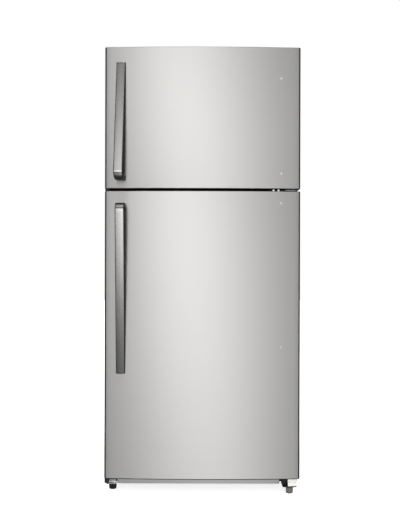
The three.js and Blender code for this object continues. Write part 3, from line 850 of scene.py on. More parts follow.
@dataclass(frozen=True)
class CornerStop:
    """Moulded block under a door's free corner."""

    drop: float = 17 * MM
    left: float = -373.2 * MM
    front: float = -333.5 * MM
    width: float = 16 * MM
    depth: float = 34 * MM
    corner: float = 3 * MM
    chamfer: float = 1.2 * MM
    sunk: float = 0.6 * MM

    def build(self, name: str, cap: str) -> None:
        """Hangs the block from the door's bottom cap.

        Args:
            name: name of the piece.
            cap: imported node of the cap.
        """
        low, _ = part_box(cap)
        far = (self.left + self.width, self.front + self.depth)
        plan = rounded_rect((self.left, self.front), far, self.corner)
        foot = low.z - self.drop
        levels = ((foot, self.chamfer), (foot + self.chamfer, 0.0), (low.z + self.sunk, 0.0))
        centre = Vector((self.left + self.width / 2, self.front + self.depth / 2))
        rings = []
        for z, inset in levels:
            shrink = 1 - inset / (self.width / 2)
            ring = []
            for x, y in plan:
                spot = centre + (Vector((x, y)) - centre) * shrink
                ring.append(Vector((spot.x, spot.y, z)))
            rings.append(ring)
        ride_with(lofted(name, rings, BLACK_PP), cap)


@dataclass
class DoorLeaf:
    """One insulated door: skin, end caps, liner, gasket, foam and hole plugs.

    The sheet is drawn thinner where it laps over the edges of the caps. Its side returns
    are lacquered black, and the black runs onto the outer part of the rounded front edges as
    painted shade along the door's edges.
    """

    prefix: str
    plug_heights: tuple[float, ...]
    plan: DoorPlan
    stop: CornerStop
    sheet: float = 1.2 * MM
    fold: float = 14 * MM
    hem: float = 0.6 * MM
    lip: float = 3.3 * MM
    lip_below: float = 3.3 * MM
    drawn: float = 0.7 * MM
    draw_length: float = 0.2 * MM
    rear_share: float = 0.35
    # Black starts here, partway round the rounded front edge: painted shade along the door's sides,
    # then the real lacquered returns.
    lacquer_and_shade_from: float = 368.8 * MM
    gasket_width: float = 20 * MM
    gasket_corner: float = 12 * MM
    gasket_least: float = 3 * MM
    plug_x: float = 300 * MM
    plug_radius: float = 4.2 * MM
    plug_sunk: float = 2 * MM
    plug_sides: int = 28

    def node(self, part: str) -> str:
        """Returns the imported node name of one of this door's parts."""
        return f"{self.prefix}_door_{part}"

    def build(self) -> None:
        """Builds every piece of the door."""
        self.skin()
        for end in ("top_cap", "bottom_cap"):
            softened(self.node(end), BLACK_PP, Edge.STAMPED)
        self.gasket()
        softened(self.node("liner"), LINER_HIPS, Edge.SOFT)
        dressed(self.node("foam"), FOAM_PU)
        for number, height in enumerate(self.plug_heights):
            self.hole_plug(number, height)
        self.stop.build(self.node("corner_stop"), self.node("bottom_cap"))

    def skin(self) -> None:
        """Wraps the steel round the door and draws its ends, thinned, over the cap edges."""
        low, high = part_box(self.node("skin"))
        bottom, top = low.z - self.lip_below, high.z + self.lip
        turns = [math.radians(angle) for angle in (10, 35, 62, 90)]
        curl = [(self.hem * (1 - math.cos(t)), self.hem * (1 - math.sin(t))) for t in turns]
        levels = [(bottom + up, inset) for up, inset in curl]
        levels += [(top - up, inset) for up, inset in reversed(curl)]
        levels += [
            (top - self.hem, self.drawn),
            (high.z, self.drawn),
            (high.z - self.draw_length, self.sheet),
            (low.z + self.draw_length, self.sheet),
            (low.z, self.drawn),
            (bottom + self.hem, self.drawn),
        ]
        rings = [self.ring(z, inset) for z, inset in levels]
        skin = lofted(self.node("skin_made"), rings, DOOR_STEEL, closed=False, looped=True)
        # Faces near the sides are drawn black: the real lacquered returns, and painted shade on the
        # outer part of the rounded front edges.
        skin.data.materials.append(RETURN_LACQUER_EDGE_SHADE.material())
        for face in skin.data.polygons:
            if abs(face.center.x) > self.lacquer_and_shade_from:
                face.material_index = 1
        stand_for(skin, self.node("skin"))

    def ring(self, z: float, inset: float) -> Ring:
        """Returns the open plan of the skin at one height, with its two rear folds.

        Args:
            z: height of the ring.
            inset: depth of the ring below the outer face of the sheet.

        Returns:
            The points of the ring, from one rear fold round the front to the other.
        """
        behind = inset if inset >= self.sheet else inset * self.rear_share
        rear = self.plan.rear - behind
        turned_in = self.plan.half - self.fold
        path = [(-turned_in, rear), *self.plan.outline(inset, rear), (turned_in, rear)]
        return [Vector((x, y, z)) for x, y in path]

    def gasket(self) -> None:
        """Extrudes the magnetic seal: a foot on the liner, a bellows and a flat lip.

        The section is drawn as shares of the seal's width and of its depth.
        """
        low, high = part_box(self.node("gasket"))
        depth = high.y - low.y
        section = [
            (0.0, 0.0),
            (1.0, 0.0),
            (1.0, 0.16),
            (0.82, 0.24),
            (0.72, 0.34),
            (0.86, 0.46),
            (0.98, 0.62),
            (1.0, 0.86),
            (0.92, 1.0),
            (0.12, 1.0),
            (0.0, 0.9),
            (0.04, 0.62),
            (0.22, 0.46),
            (0.26, 0.34),
            (0.14, 0.24),
            (0.0, 0.16),
        ]
        rings = []
        for across, out in section:
            shrink = across * self.gasket_width
            corner = max(self.gasket_corner - shrink * 0.4, self.gasket_least)
            loop = rounded_rect(
                (low.x + shrink, low.z + shrink), (high.x - shrink, high.z - shrink), corner
            )
            rings.append([Vector((x, low.y + out * depth, z)) for x, z in loop])
        made = lofted(self.node("gasket_made"), rings, GASKET_PVC, looped=True)
        stand_for(made, self.node("gasket"))

    def hole_plug(self, number: int, height: float) -> None:
        """Closes a spare handle screw hole with a small domed button.

        Args:
            number: number of the plug, from the top.
            height: height of its middle.
        """
        face = self.plan.front(self.plug_x)
        bow = self.plan.edge - self.plan.apex
        lean = math.asin(self.plug_x * 2 * bow / self.plan.half**2)
        out = Vector((math.sin(lean), -math.cos(lean), 0))
        origin = Vector((self.plug_x, face, height)) - out * self.plug_sunk
        radius = self.plug_radius
        profile = [
            (0.0, 0.0),
            (radius * 0.8, 0.0),
            (radius, 1.9 * MM),
            (radius, 2.3 * MM),
            (radius * 0.86, 2.75 * MM),
            (radius * 0.5, 3.05 * MM),
            (0.0, 3.15 * MM),
        ]
        name = f"{self.prefix}_hole_plug_{number}"
        plug = turned(name, profile, origin, out, PLUG_ABS, self.plug_sides)
        ride_with(plug, self.node("skin"))


@dataclass
class Handle:
    """Tapered pull handle: a steel strap over a black core, flush at one end, bent at the other.

    The side view is drawn as (length, height) points: length from the flush end, and height
    in front of the door. The black core that shows beside the strap and under the elbow is
    partly the real core and partly painted shade: it draws the bar's shaded sides, its
    underside and its shadow on the door.
    """

    node: str
    grows_up: bool
    lean: float
    centre: float = -310.5 * MM
    width: float = 38 * MM
    back: float = -337 * MM
    tip: float = 5 * MM
    thick: float = 15 * MM
    elbow: float = 30 * MM
    core_right: float = -294.2 * MM
    core_inset: float = 0.7 * MM
    core_round: float = 2.6 * MM
    # The strap stops short of the core's sides, and the black margins left there are painted shade
    # along the bar's edges.
    strap_left: float = -326.9 * MM
    strap_right: float = -296.8 * MM
    strap_depth: float = 2.4 * MM
    strap_start: float = 2.6 * MM
    strap_round: float = 0.9 * MM
    flush_start: float = 0.4 * MM
    straight: int = 48
    # The strap ends partway round the elbow, so the black underside of the elbow is painted shade.
    strap_steps: int = 9
    elbow_steps: int = 16
    stem_steps: int = 4

    def build(self) -> None:
        """Lofts the core and the strap through the same sections."""
        sections = self.sections()
        left, right = self.centre - self.width / 2, self.core_right
        core = []
        for outer, inner in sections:
            face = outer - (outer - inner).normalized() * self.core_inset
            core.append(self.ring(face, inner, left, right, self.core_round))
        stand_for(lofted(f"{self.node}_core", core, BLACK_PP), self.node)
        # The strap covers less than the core: the black left at its sides and under the elbow is
        # painted shade.
        strap = []
        tip, after = sections[0], sections[1]
        share = self.strap_start / (after[0].x - tip[0].x)
        covered = [(tip[0].lerp(after[0], share), tip[1].lerp(after[1], share))]
        covered += sections[1 : self.straight + self.strap_steps]
        for outer, inner in covered:
            across = outer - inner
            depth = min(self.strap_depth, across.length * 0.6)
            inside = outer - across.normalized() * depth
            ring = self.ring(outer, inside, self.strap_left, self.strap_right, self.strap_round)
            strap.append(ring)
        ride_with(lofted(f"{self.node}_strap", strap, HANDLE_STEEL), self.node)

    def sections(self) -> list[tuple[Vector, Vector]]:
        """Works out the side view of the bar.

        Returns:
            Pairs of an outer and an inner point, from the flush end to the foot of the elbow.
        """
        low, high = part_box(self.node)
        length = high.z - low.z
        rise = self.back - low.y
        slope = (rise - self.tip) / (length - self.elbow)
        tilt = math.atan(slope)
        hub = Vector((length - self.elbow, rise - self.elbow))
        normal = Vector((-math.sin(tilt), math.cos(tilt)))
        sections: list[tuple[Vector, Vector]] = []
        reach = hub.x - self.elbow * math.sin(tilt)
        for i in range(self.straight + 1):
            along = self.flush_start + (reach - self.flush_start) * i / self.straight
            outer = Vector((along, self.tip + slope * along))
            drop = min(self.thick, outer.y / normal.y)
            sections.append((outer, outer - normal * drop))
        for i in range(1, self.elbow_steps + 1):
            angle = (math.radians(90) + tilt) * (1 - i / self.elbow_steps)
            ray = Vector((math.cos(angle), math.sin(angle)))
            sections.append((hub + ray * self.elbow, hub + ray * (self.elbow - self.thick)))
        for i in range(1, self.stem_steps + 1):
            level = hub.y * (1 - i / self.stem_steps)
            sections.append((Vector((length, level)), Vector((length - self.thick, level))))
        return sections

    def ring(self, outer: Vector, inner: Vector, left: float, right: float, radius: float) -> Ring:
        """Returns one rounded section of the bar.

        Args:
            outer: outer point of the side view, as length and height.
            inner: inner point of the side view.
            left: X of the left side before the lean.
            right: X of the right side before the lean.
            radius: rounding of the section's corners.

        Returns:
            The points of the section.
        """
        low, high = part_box(self.node)
        across = outer - inner
        depth = across.length
        loop = rounded_rect((left, 0.0), (right, depth), min(radius, depth * 0.45), 5)
        ring = []
        for x, out in loop:
            spot = inner + across * (out / depth)
            z = low.z + spot.x if self.grows_up else high.z - spot.x
            ring.append(Vector((x - self.lean * spot.y, self.back - spot.y, z)))
        return ring


# --------------------------------------------------------------------------- small parts


FLANGE_TOP = 1.3 * MM
PIN_CHAMFER = 0.8 * MM
PIN_SIDES = 40


def hexagon(angle: float, height: float) -> float:
    """Cuts a round bolt head to a hexagon above its flange.

    Args:
        angle: angle round the bolt.
        height: height above the seat.

    Returns:
        Factor on the radius.
    """
    if height < FLANGE_TOP:
        return 1.0
    sixth = math.pi / 3
    return math.cos(sixth / 2) / math.cos(angle % sixth - sixth / 2)


@dataclass(frozen=True)
class FlangeBolt:
    """Hexagon washer head screw, drawn from its seat up to its head."""

    name: str
    spot: tuple[float, float, float]
    out: tuple[float, float, float]
    flange: float = 5.6 * MM
    across: float = 4.4 * MM
    height: float = 4.6 * MM
    shank: float = 0.0
    sides: int = 36

    def build(self, beside: str) -> None:
        """Turns the head and rides it with the node that it holds.

        Args:
            beside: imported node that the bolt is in.
        """
        top = self.height
        stem = self.across * 0.55
        start = [(0.0, 0.0)]
        if self.shank:
            start = [(0.0, -self.shank), (stem, -self.shank), (stem, 0.0)]
        profile = [
            *start,
            (self.flange, 0.0),
            (self.flange, 0.5 * MM),
            (self.flange * 0.86, 1.0 * MM),
            (self.across, 1.25 * MM),
            (self.across, 1.5 * MM),
            (self.across, top - 0.5 * MM),
            (self.across * 0.86, top),
            (self.across * 0.5, top),
            (self.across * 0.42, top - 0.5 * MM),
            (0.0, top - 0.5 * MM),
        ]
        seat, out = Vector(self.spot), Vector(self.out)
        made = turned(self.name, profile, seat, out, ZINC_PLATE, self.sides, wobble=hexagon)
        ride_with(made, beside)


@dataclass(frozen=True)
class Bead:
    """Round bead or wire along a path with rounded corners."""

    name: str
    corners: tuple[tuple[float, float, float], ...]
    radius: float
    bend: float
    finish: Finish
    looped: bool = False
    bend_steps: int = 6

    def path(self) -> list[Vector]:
        """Replaces every inner corner of the path by a short curve.

        Returns:
            The points of the smoothed path.
        """
        spots = [Vector(c) for c in self.corners]
        if self.looped:
            spots = [(spots[0] + spots[-1]) / 2, *spots, (spots[0] + spots[-1]) / 2]
        path = [spots[0]]
        for before, here, after in zip(spots, spots[1:], spots[2:]):
            reach = min(self.bend, (before - here).length / 2, (after - here).length / 2)
            start = here + (before - here).normalized() * reach
            stop = here + (after - here).normalized() * reach
            for i in range(self.bend_steps + 1):
                t = i / self.bend_steps
                path.append(start * (1 - t) ** 2 + here * 2 * t * (1 - t) + stop * t**2)
        return [*path, spots[-1]]

    def build(self, beside: str) -> bpy.types.Object:
        """Draws the bead and rides it with a node."""
        points, faces = wire(self.path(), self.radius)
        return ride_with(mesh_object(self.name, points, faces, self.finish), beside)


def round_pin(node: str, finish: Finish, neck: float = 0.0) -> None:
    """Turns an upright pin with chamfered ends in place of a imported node.

    Args:
        node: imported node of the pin.
        finish: material of the pin.
        neck: radius of the pin beyond a collar in its middle, or 0 for a plain pin.
    """
    low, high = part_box(node)
    radius = (high.x - low.x) / 2
    tall = high.z - low.z
    chamfer = PIN_CHAMFER
    ends = neck or radius
    profile = [(0.0, 0.0), (ends - chamfer, 0.0), (ends, chamfer)]
    if neck:
        profile += [(ends, tall * 0.42), (radius - chamfer, tall * 0.42), (radius, tall * 0.45)]
        profile += [(radius, tall * 0.55), (radius - chamfer, tall * 0.58), (ends, tall * 0.58)]
    profile += [(ends, tall - chamfer), (ends - chamfer, tall), (0.0, tall)]
    origin = Vector(((low.x + high.x) / 2, (low.y + high.y) / 2, low.z))
    stand_for(turned(f"{node}_made", profile, origin, UP, finish, PIN_SIDES), node)


# --------------------------------------------------------------------------- cabinet


@dataclass
class Cabinet:
    """Folded steel case, its liners, the foam between them and the screws on the back."""

    leg_x: tuple[float, float] = (-373.8 * MM, -366.4 * MM)
    leg_y: tuple[float, float] = (-276.0 * MM, -266.2 * MM)
    leg_z: tuple[float, float] = (21 * MM, 52 * MM)
    leg_wall: float = 1.6 * MM
    screw_x: float = 363 * MM
    screw_rows: tuple[float, ...] = (0.32, 0.66, 1.0, 1.34, 1.68)
    screw_flange: float = 4.4 * MM
    screw_head: float = 3.2 * MM
    cover_x: float = 361 * MM
    cover_margin: float = 9 * MM
    cover_sunk: float = 3.3 * MM

    def build(self) -> None:
        """Builds the case and dresses what it hides."""
        softened("cabinet_shell", CASE_PAINT, Edge.FOLDED)
        softened("centre_rail", CASE_PAINT, Edge.FOLDED)
        softened("back_panel", GALVANISED, Edge.FOLDED)
        softened("bottom_pan", GALVANISED, Edge.FOLDED)
        softened("freezer_liner", LINER_HIPS, Edge.MOULDED)
        softened("fridge_liner", LINER_HIPS, Edge.MOULDED)
        softened("base_strip", SILVER_LACQUER, Edge.SOFT)
        self.corner_leg()
        softened("rear_cover", GALVANISED, Edge.FOLDED)
        dressed("insulation_foam", FOAM_PU)
        self.screws()

    def corner_leg(self) -> None:
        """Folds the case's left front corner down beside the foot, as a short angle."""
        (left, right), (front, back) = self.leg_x, self.leg_y
        wall = self.leg_wall
        plan = [
            (left, back),
            (left, front),
            (right, front),
            (right, front + wall),
            (left + wall, front + wall),
            (left + wall, back),
        ]
        rings = [[Vector((x, y, z)) for x, y in plan] for z in self.leg_z]
        leg = lofted("case_corner_left", rings, CASE_PAINT, edge=Edge.FOLDED)
        ride_with(leg, "cabinet_shell")

    def screws(self) -> None:
        """Screws the back panel and the compressor cover to the case."""
        _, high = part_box("back_panel")
        for row, z in enumerate(self.screw_rows):
            for side, x in (("left", -self.screw_x), ("right", self.screw_x)):
                self.screw(f"back_screw_{row}_{side}", (x, high.y, z), "back_panel")
        low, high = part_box("rear_cover")
        seat = high.y - self.cover_sunk
        for row, z in enumerate((low.z + self.cover_margin, high.z - self.cover_margin)):
            for column, x in enumerate((-self.cover_x, self.cover_x)):
                self.screw(f"cover_screw_{row}_{column}", (x, seat, z), "rear_cover")

    def screw(self, name: str, spot: tuple[float, float, float], beside: str) -> None:
        """Drives one screw in from the back.

        Args:
            name: name of the piece.
            spot: middle of its seat.
            beside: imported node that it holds.
        """
        head = self.screw_head
        FlangeBolt(name, spot, (0, 1, 0), self.screw_flange, head, head).build(beside)


# --------------------------------------------------------------------------- hinges


@dataclass
class Hinges:
    """Top plate under its cover, middle bracket between the doors and the cam hinge below."""

    middle_bolts: tuple[float, ...] = (273 * MM, 292 * MM)
    middle_head: float = -318 * MM
    middle_size: tuple[float, float] = (4.9 * MM, 4.4 * MM)
    middle_neck: float = 4 * MM
    bottom_bolt: tuple[float, float] = (303 * MM, 46 * MM)
    bottom_size: tuple[float, float] = (4.4 * MM, 3.4 * MM)

    def build(self) -> None:
        """Builds every piece of the three hinges."""
        softened("top_hinge_plate", HINGE_PLATE, Edge.STAMPED)
        softened("top_hinge_cover", BLACK_PP, Edge.SOFT)
        round_pin("top_hinge_pin", ZINC_PLATE)
        softened("middle_hinge_bracket", HINGE_PLATE, Edge.STAMPED)
        round_pin("middle_hinge_pin", ZINC_PLATE, self.middle_neck)
        softened("bottom_hinge_bracket", CASE_PAINT, Edge.STAMPED)
        round_pin("bottom_hinge_pin", ZINC_PLATE)
        softened("hinge_cam_lower", CAM_ACETAL, Edge.STAMPED)
        softened("hinge_cam_upper", CAM_ACETAL, Edge.STAMPED)
        low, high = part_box("middle_hinge_bracket")
        for number, x in enumerate(self.middle_bolts):
            spot = (x, self.middle_head, (low.z + high.z) / 2)
            name = f"middle_hinge_bolt_{number}"
            reach = high.y - self.middle_head
            bolt = FlangeBolt(name, spot, (0, -1, 0), *self.middle_size, shank=reach)
            bolt.build("middle_hinge_bracket")
        x, z = self.bottom_bolt
        low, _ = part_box("base_strip")
        bolt = FlangeBolt("bottom_hinge_bolt", (x, low.y, z), (0, -1, 0), *self.bottom_size)
        bolt.build("base_strip")


# --------------------------------------------------------------------------- feet


@dataclass
class LevellingFoot:
    """Knurled screw foot: a wheel that the fingers turn, on a threaded stud."""

    node: str
    finish: Finish
    ribs: int
    stud_shown: float
    stud: float = 4 * MM
    pitch: float = 1.25 * MM
    stud_sides: int = 32
    rib_points: int = 8
    rib_swell: float = 0.045
    rib_start: float = 3.4 * MM

    def build(self) -> None:
        """Turns the wheel and the stud above it."""
        low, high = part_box(self.node)
        radius = (high.x - low.x) / 2
        wheel = high.z - low.z - self.stud_shown
        axis = Vector(((low.x + high.x) / 2, (low.y + high.y) / 2, 0.0))
        core = radius * 0.95
        profile = [
            (0.0, 0.0),
            (core - 1.0 * MM, 0.0),
            (core - 0.3 * MM, 0.7 * MM),
            (core - 0.3 * MM, 3.0 * MM),
            (core, 3.8 * MM),
            (core, wheel - 2.6 * MM),
            (core - 0.7 * MM, wheel - 1.6 * MM),
            (core - 1.6 * MM, wheel - 0.2 * MM),
            (core - 2.4 * MM, wheel),
            (0.0, wheel),
        ]
        top = wheel - 2.0 * MM

        def knurl(angle: float, height: float) -> float:
            """Swells the rim of the wheel at each rib.

            Args:
                angle: angle round the wheel.
                height: height above its foot.

            Returns:
                Factor on the radius.
            """
            if not self.rib_start < height < top:
                return 1.0
            return 1 + self.rib_swell * math.cos(self.ribs * angle)

        name, sides = f"{self.node}_wheel", self.ribs * self.rib_points
        stand_for(turned(name, profile, axis, UP, self.finish, sides, wobble=knurl), self.node)
        ride_with(self.thread(axis, wheel - 0.5 * MM, high.z), self.node)

    def thread(self, axis: Vector, low: float, high: float) -> bpy.types.Object:
        """Turns the threaded stud above the wheel.

        Args:
            axis: point on the axis, at height 0.
            low: lower end of the stud.
            high: upper end of the stud.

        Returns:
            The new piece.
        """
        profile: list[Point] = [(0.0, low)]
        z = low
        while z < high - self.pitch:
            profile += [(self.stud - 0.55 * MM, z), (self.stud, z + self.pitch / 2)]
            z += self.pitch
        profile += [(self.stud - 0.6 * MM, z), (self.stud - 0.9 * MM, high), (0.0, high)]
        return turned(f"{self.node}_stud", profile, axis, UP, ZINC_PLATE, self.stud_sides)


@dataclass
class RearRoller:
    """Moulded roller on a steel axle under the back of the cabinet."""

    node: str
    axle: float = 4 * MM
    axle_chamfer: float = 0.6 * MM
    wheel_sides: int = 64
    axle_sides: int = 32

    def build(self) -> None:
        """Turns the wheel and its axle."""
        low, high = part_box(self.node)
        middle = (low + high) / 2
        along = Vector((1, 0, 0))
        half = (high.x - low.x) / 4
        radius = (high.z - low.z) / 2
        rim = [
            (radius * 0.25, -half),
            (radius * 0.38, -half),
            (radius * 0.45, -half * 0.7),
            (radius * 0.8, -half * 0.7),
            (radius * 0.86, -half),
            (radius * 0.95, -half),
            (radius, -half * 0.8),
        ]
        profile = [(0.0, -half), *rim, *[(r, -x) for r, x in reversed(rim)], (0.0, half)]
        wheel = turned(
            f"{self.node}_wheel", profile, middle, along, BLACK_PP, self.wheel_sides
        )
        stand_for(wheel, self.node)
        end = (high.x - low.x) / 2
        chamfer = self.axle_chamfer
        pin = [
            (0.0, -end),
            (self.axle - chamfer, -end),
            (self.axle, chamfer - end),
            (self.axle, end - chamfer),
            (self.axle - chamfer, end),
            (0.0, end),
        ]
        axle = turned(f"{self.node}_axle", pin, middle, along, ZINC_PLATE, self.axle_sides)
        ride_with(axle, self.node)


@dataclass
class Supports:
    """Front feet, rear rollers and the brackets that carry them."""

    def build(self) -> None:
        """Builds every piece that the refrigerator stands on."""
        LevellingFoot("left_foot", BLACK_PP, ribs=26, stud_shown=6.8 * MM).build()
        LevellingFoot("right_foot", FOOT_ABS, ribs=18, stud_shown=4.6 * MM).build()
        softened("left_foot_bracket", ZINC_PLATE, Edge.STAMPED)
        softened("compressor_rail", GALVANISED, Edge.STAMPED)
        for side in ("left", "right"):
            RearRoller(f"rear_roller_{side}").build()


# --------------------------------------------------------------------------- machinery


@dataclass
class Machinery:
    """Compressor, coils, drain pan and the freezer's fan behind its cover."""

    def build(self) -> None:
        """Builds the cooling machinery."""
        softened("compressor", BLACK_ENAMEL, Edge.SOFT)
        softened("condenser_coil", BLACK_ENAMEL, Edge.NONE)
        softened("drain_pan", BLACK_PP, Edge.MOULDED)
        softened("evaporator", MILL_ALUMINIUM, Edge.NONE)
        softened("evaporator_cover", LINER_HIPS, Edge.MOULDED)
        softened("fan_motor", BLACK_PP, Edge.STAMPED)
        softened("evaporator_fan", WHITE_ABS, Edge.NONE)


# --------------------------------------------------------------------------- fittings


@dataclass
class GlassShelf:
    """Glass pane held between a front nose and a rear rail, both moulded.

    The heights of the two trims are counted from the underside of the pane.
    """

    node: str
    surface: float
    glass: float = 4 * MM
    side_gap: float = 0.4 * MM
    tuck: float = 3 * MM
    corner: float = 5 * MM
    seam: float = 0.8 * MM
    nose: float = 12 * MM
    nose_span: tuple[float, float] = (-6 * MM, 8 * MM)
    tail: float = 10 * MM
    tail_span: tuple[float, float] = (-2 * MM, 12 * MM)
    trim_round: float = 3.4 * MM
    trim_end: float = 1.2 * MM
    trim_steps: int = 6

    def build(self) -> None:
        """Lays the pane and clips its two trims on."""
        low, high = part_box(self.node)
        z = self.surface
        near = (low.x + self.side_gap, low.y + self.tuck)
        far = (high.x - self.side_gap, high.y - self.tuck)
        loop = rounded_rect(near, far, self.corner)
        levels = (
            (z, self.seam),
            (z + self.seam, 0.0),
            (z + self.glass - self.seam, 0.0),
            (z + self.glass, self.seam),
        )
        rings = []
        for level, inset in levels:
            narrow = 1 - inset / high.x
            rings.append([Vector((x * narrow, y - math.copysign(inset, y), level)) for x, y in loop])
        stand_for(lofted(f"{self.node}_pane", rings, SHELF_GLASS), self.node)
        self.trim("nose", (low.y, low.y + self.nose), self.nose_span)
        self.trim("tail", (high.y - self.tail, high.y), self.tail_span)

    def trim(self, end: str, depth: Point, span: Point) -> None:
        """Extrudes one trim across the shelf from a rounded section.

        Args:
            end: name of the trim.
            depth: Y of its front and back.
            span: heights of its bottom and top, from the underside of the pane.
        """
        low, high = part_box(self.node)
        (front, back), (bottom, top) = depth, (self.surface + rise for rise in span)
        loop = rounded_rect((front, bottom), (back, top), self.trim_round, self.trim_steps)
        taper = self.trim_end
        ends = ((low.x, taper), (low.x + taper, 0.0), (high.x - taper, 0.0), (high.x, taper))
        middle_y, middle_z = (front + back) / 2, (bottom + top) / 2
        rings = []
        for x, inset in ends:
            shrink = 1 - inset / (back - front)
            ring = []
            for y, z in loop:
                spot = (x, middle_y + (y - middle_y) * shrink, middle_z + (z - middle_z) * shrink)
                ring.append(Vector(spot))
            rings.append(ring)
        ride_with(lofted(f"{self.node}_{end}", rings, WHITE_ABS), self.node)


@dataclass
class DrawerShelf(GlassShelf):
    """Glass shelf with two moulded runners under it, which carry a shallow drawer."""

    drawer: str = "deli_drawer"
    play: float = 1 * MM
    web: float = 3 * MM
    ledge: float = 4 * MM
    grip: float = 8 * MM

    def build(self) -> None:
        """Builds the shelf and hangs a runner on each side of the drawer's flanges."""
        super().build()
        low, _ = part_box(self.node)
        _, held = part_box(self.drawer)
        near = held.x + self.play
        far, inner = near + self.web, held.x - self.grip
        section = [
            (inner, low.z),
            (far, low.z),
            (far, self.surface),
            (near, self.surface),
            (near, low.z + self.ledge),
            (inner, low.z + self.ledge),
        ]
        for side, name in ((-1, "left"), (1, "right")):
            ends = (low.y + self.nose / 2, held.y)
            rings = [[Vector((side * x, y, z)) for x, z in section] for y in ends]
            runner = lofted(f"{self.node}_runner_{name}", rings, WHITE_ABS, edge=Edge.STAMPED)
            ride_with(runner, self.node)


@dataclass
class CrisperCover(GlassShelf):
    """Glass lid of the crispers, standing on a moulded wall between them."""

    wall: float = 3 * MM
    wall_round: float = 2.4 * MM

    def build(self) -> None:
        """Builds the lid and the wall under it."""
        super().build()
        low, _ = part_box(self.node)
        _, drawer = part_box("crisper_left")
        front = low.y + self.nose
        plan = rounded_rect((-self.wall, front), (self.wall, drawer.y), self.wall_round)
        rings = [[Vector((x, y, z)) for x, y in plan] for z in (low.z, self.surface)]
        ride_with(lofted(f"{self.node}_wall", rings, WHITE_ABS), self.node)


@dataclass
class WireShelf:
    """Freezer shelf of coated wire: a frame, a cross bar and thin wires front to back."""

    node: str = "freezer_shelf"
    frame_wire: float = 2.9 * MM
    thin_wire: float = 1.5 * MM
    wires: int = 23
    sides: int = 12
    bend: float = 12 * MM
    margin: float = 8 * MM
    bar_share: float = 0.8

    def build(self) -> None:
        """Welds the frame and the wires into one piece."""
        low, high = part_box(self.node)
        inset = self.frame_wire
        z = low.z + inset
        corners = (
            (low.x + inset, low.y + inset, z),
            (high.x - inset, low.y + inset, z),
            (high.x - inset, high.y - inset, z),
            (low.x + inset, high.y - inset, z),
        )
        rim = Bead("rim", corners, inset, self.bend, COATED_WIRE, looped=True)
        runs = [(rim.path(), inset)]
        middle = (low.y + high.y) / 2
        bar = [Vector((low.x + inset, middle, z)), Vector((high.x - inset, middle, z))]
        runs.append((bar, inset * self.bar_share))
        span = high.x - low.x - 2 * self.margin
        top = high.z - self.thin_wire
        for i in range(self.wires):
            x = low.x + self.margin + span * (i + 0.5) / self.wires
            ends = (low.y + inset, high.y - inset)
            runs.append(([Vector((x, y, top)) for y in ends], self.thin_wire))
        points: list[Vector] = []
        faces: list[list[int]] = []
        for path, radius in runs:
            new_points, new_faces = wire(path, radius, self.sides)
            faces += [[len(points) + corner for corner in face] for face in new_faces]
            points += new_points
        stand_for(mesh_object(f"{self.node}_made", points, faces, COATED_WIRE), self.node)


@dataclass
class Tub:
    """Clear moulded bin or drawer. A bin that is open at the back has a rolled rim."""

    node: str
    open_back: bool
    bead: float = 2.0 * MM
    drop: float = 2.2 * MM
    bend: float = 10 * MM

    def build(self) -> None:
        """Builds the tub and, on a door bin, the bead round its top edge."""
        softened(self.node, CLEAR_PS, Edge.MOULDED)
        low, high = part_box(self.node)
        r = self.bead
        z = high.z - self.drop
        if self.open_back:
            corners = (
                (low.x + r, low.y + r, z),
                (low.x + r, high.y - r, z),
                (high.x - r, high.y - r, z),
                (high.x - r, low.y + r, z),
            )
            Bead(f"{self.node}_rim", corners, r, self.bend, CLEAR_PS).build(self.node)


@dataclass
class Knob:
    """Temperature knob with a fluted grip and a fine pointer let into its face."""

    node: str = "temperature_knob"
    flutes: int = 12
    flute_points: int = 12
    flute_depth: float = 0.05
    skirt_share: float = 0.3
    pointer: tuple[float, float] = (3 * MM, 10 * MM)
    pointer_radius: float = 0.34 * MM
    pointer_sunk: float = 0.35 * MM

    def build(self) -> None:
        """Turns the knob about its spindle and lets the pointer into its face."""
        low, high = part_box(self.node)
        radius = (high.x - low.x) / 2
        deep = high.y - low.y
        origin = Vector(((low.x + high.x) / 2, high.y, (low.z + high.z) / 2))
        skirt = self.skirt_share * deep

        def flute(angle: float, height: float) -> float:
            """Hollows the grip at each shallow finger groove.

            Args:
                angle: angle round the knob.
                height: height above the control housing.

            Returns:
                Factor on the radius.
            """
            if height < skirt:
                return 1.0
            return 1 - self.flute_depth * (1 + math.cos(self.flutes * angle)) / 2

        profile = [
            (0.0, 0.0),
            (radius * 0.55, 0.0),
            (radius * 0.55, skirt * 0.4),
            (radius * 0.97, skirt * 0.4),
            (radius, skirt * 0.55),
            (radius, skirt * 0.85),
            (radius * 0.9, skirt),
            (radius * 0.84, skirt * 1.2),
            (radius * 0.78, deep - 1.4 * MM),
            (radius * 0.7, deep - 0.4 * MM),
            (radius * 0.62, deep),
            (0.0, deep),
        ]
        out = Vector((0, -1, 0))
        name, sides = f"{self.node}_made", self.flutes * self.flute_points
        made = turned(name, profile, origin, out, GREY_ABS, sides, wobble=flute)
        stand_for(made, self.node)
        face = origin + out * (deep - self.pointer_sunk)
        corners = tuple((face.x, face.y, face.z + reach) for reach in self.pointer)
        mark = Bead(f"{self.node}_pointer", corners, self.pointer_radius, 1 * MM, WHITE_ABS)
        mark.build(self.node)


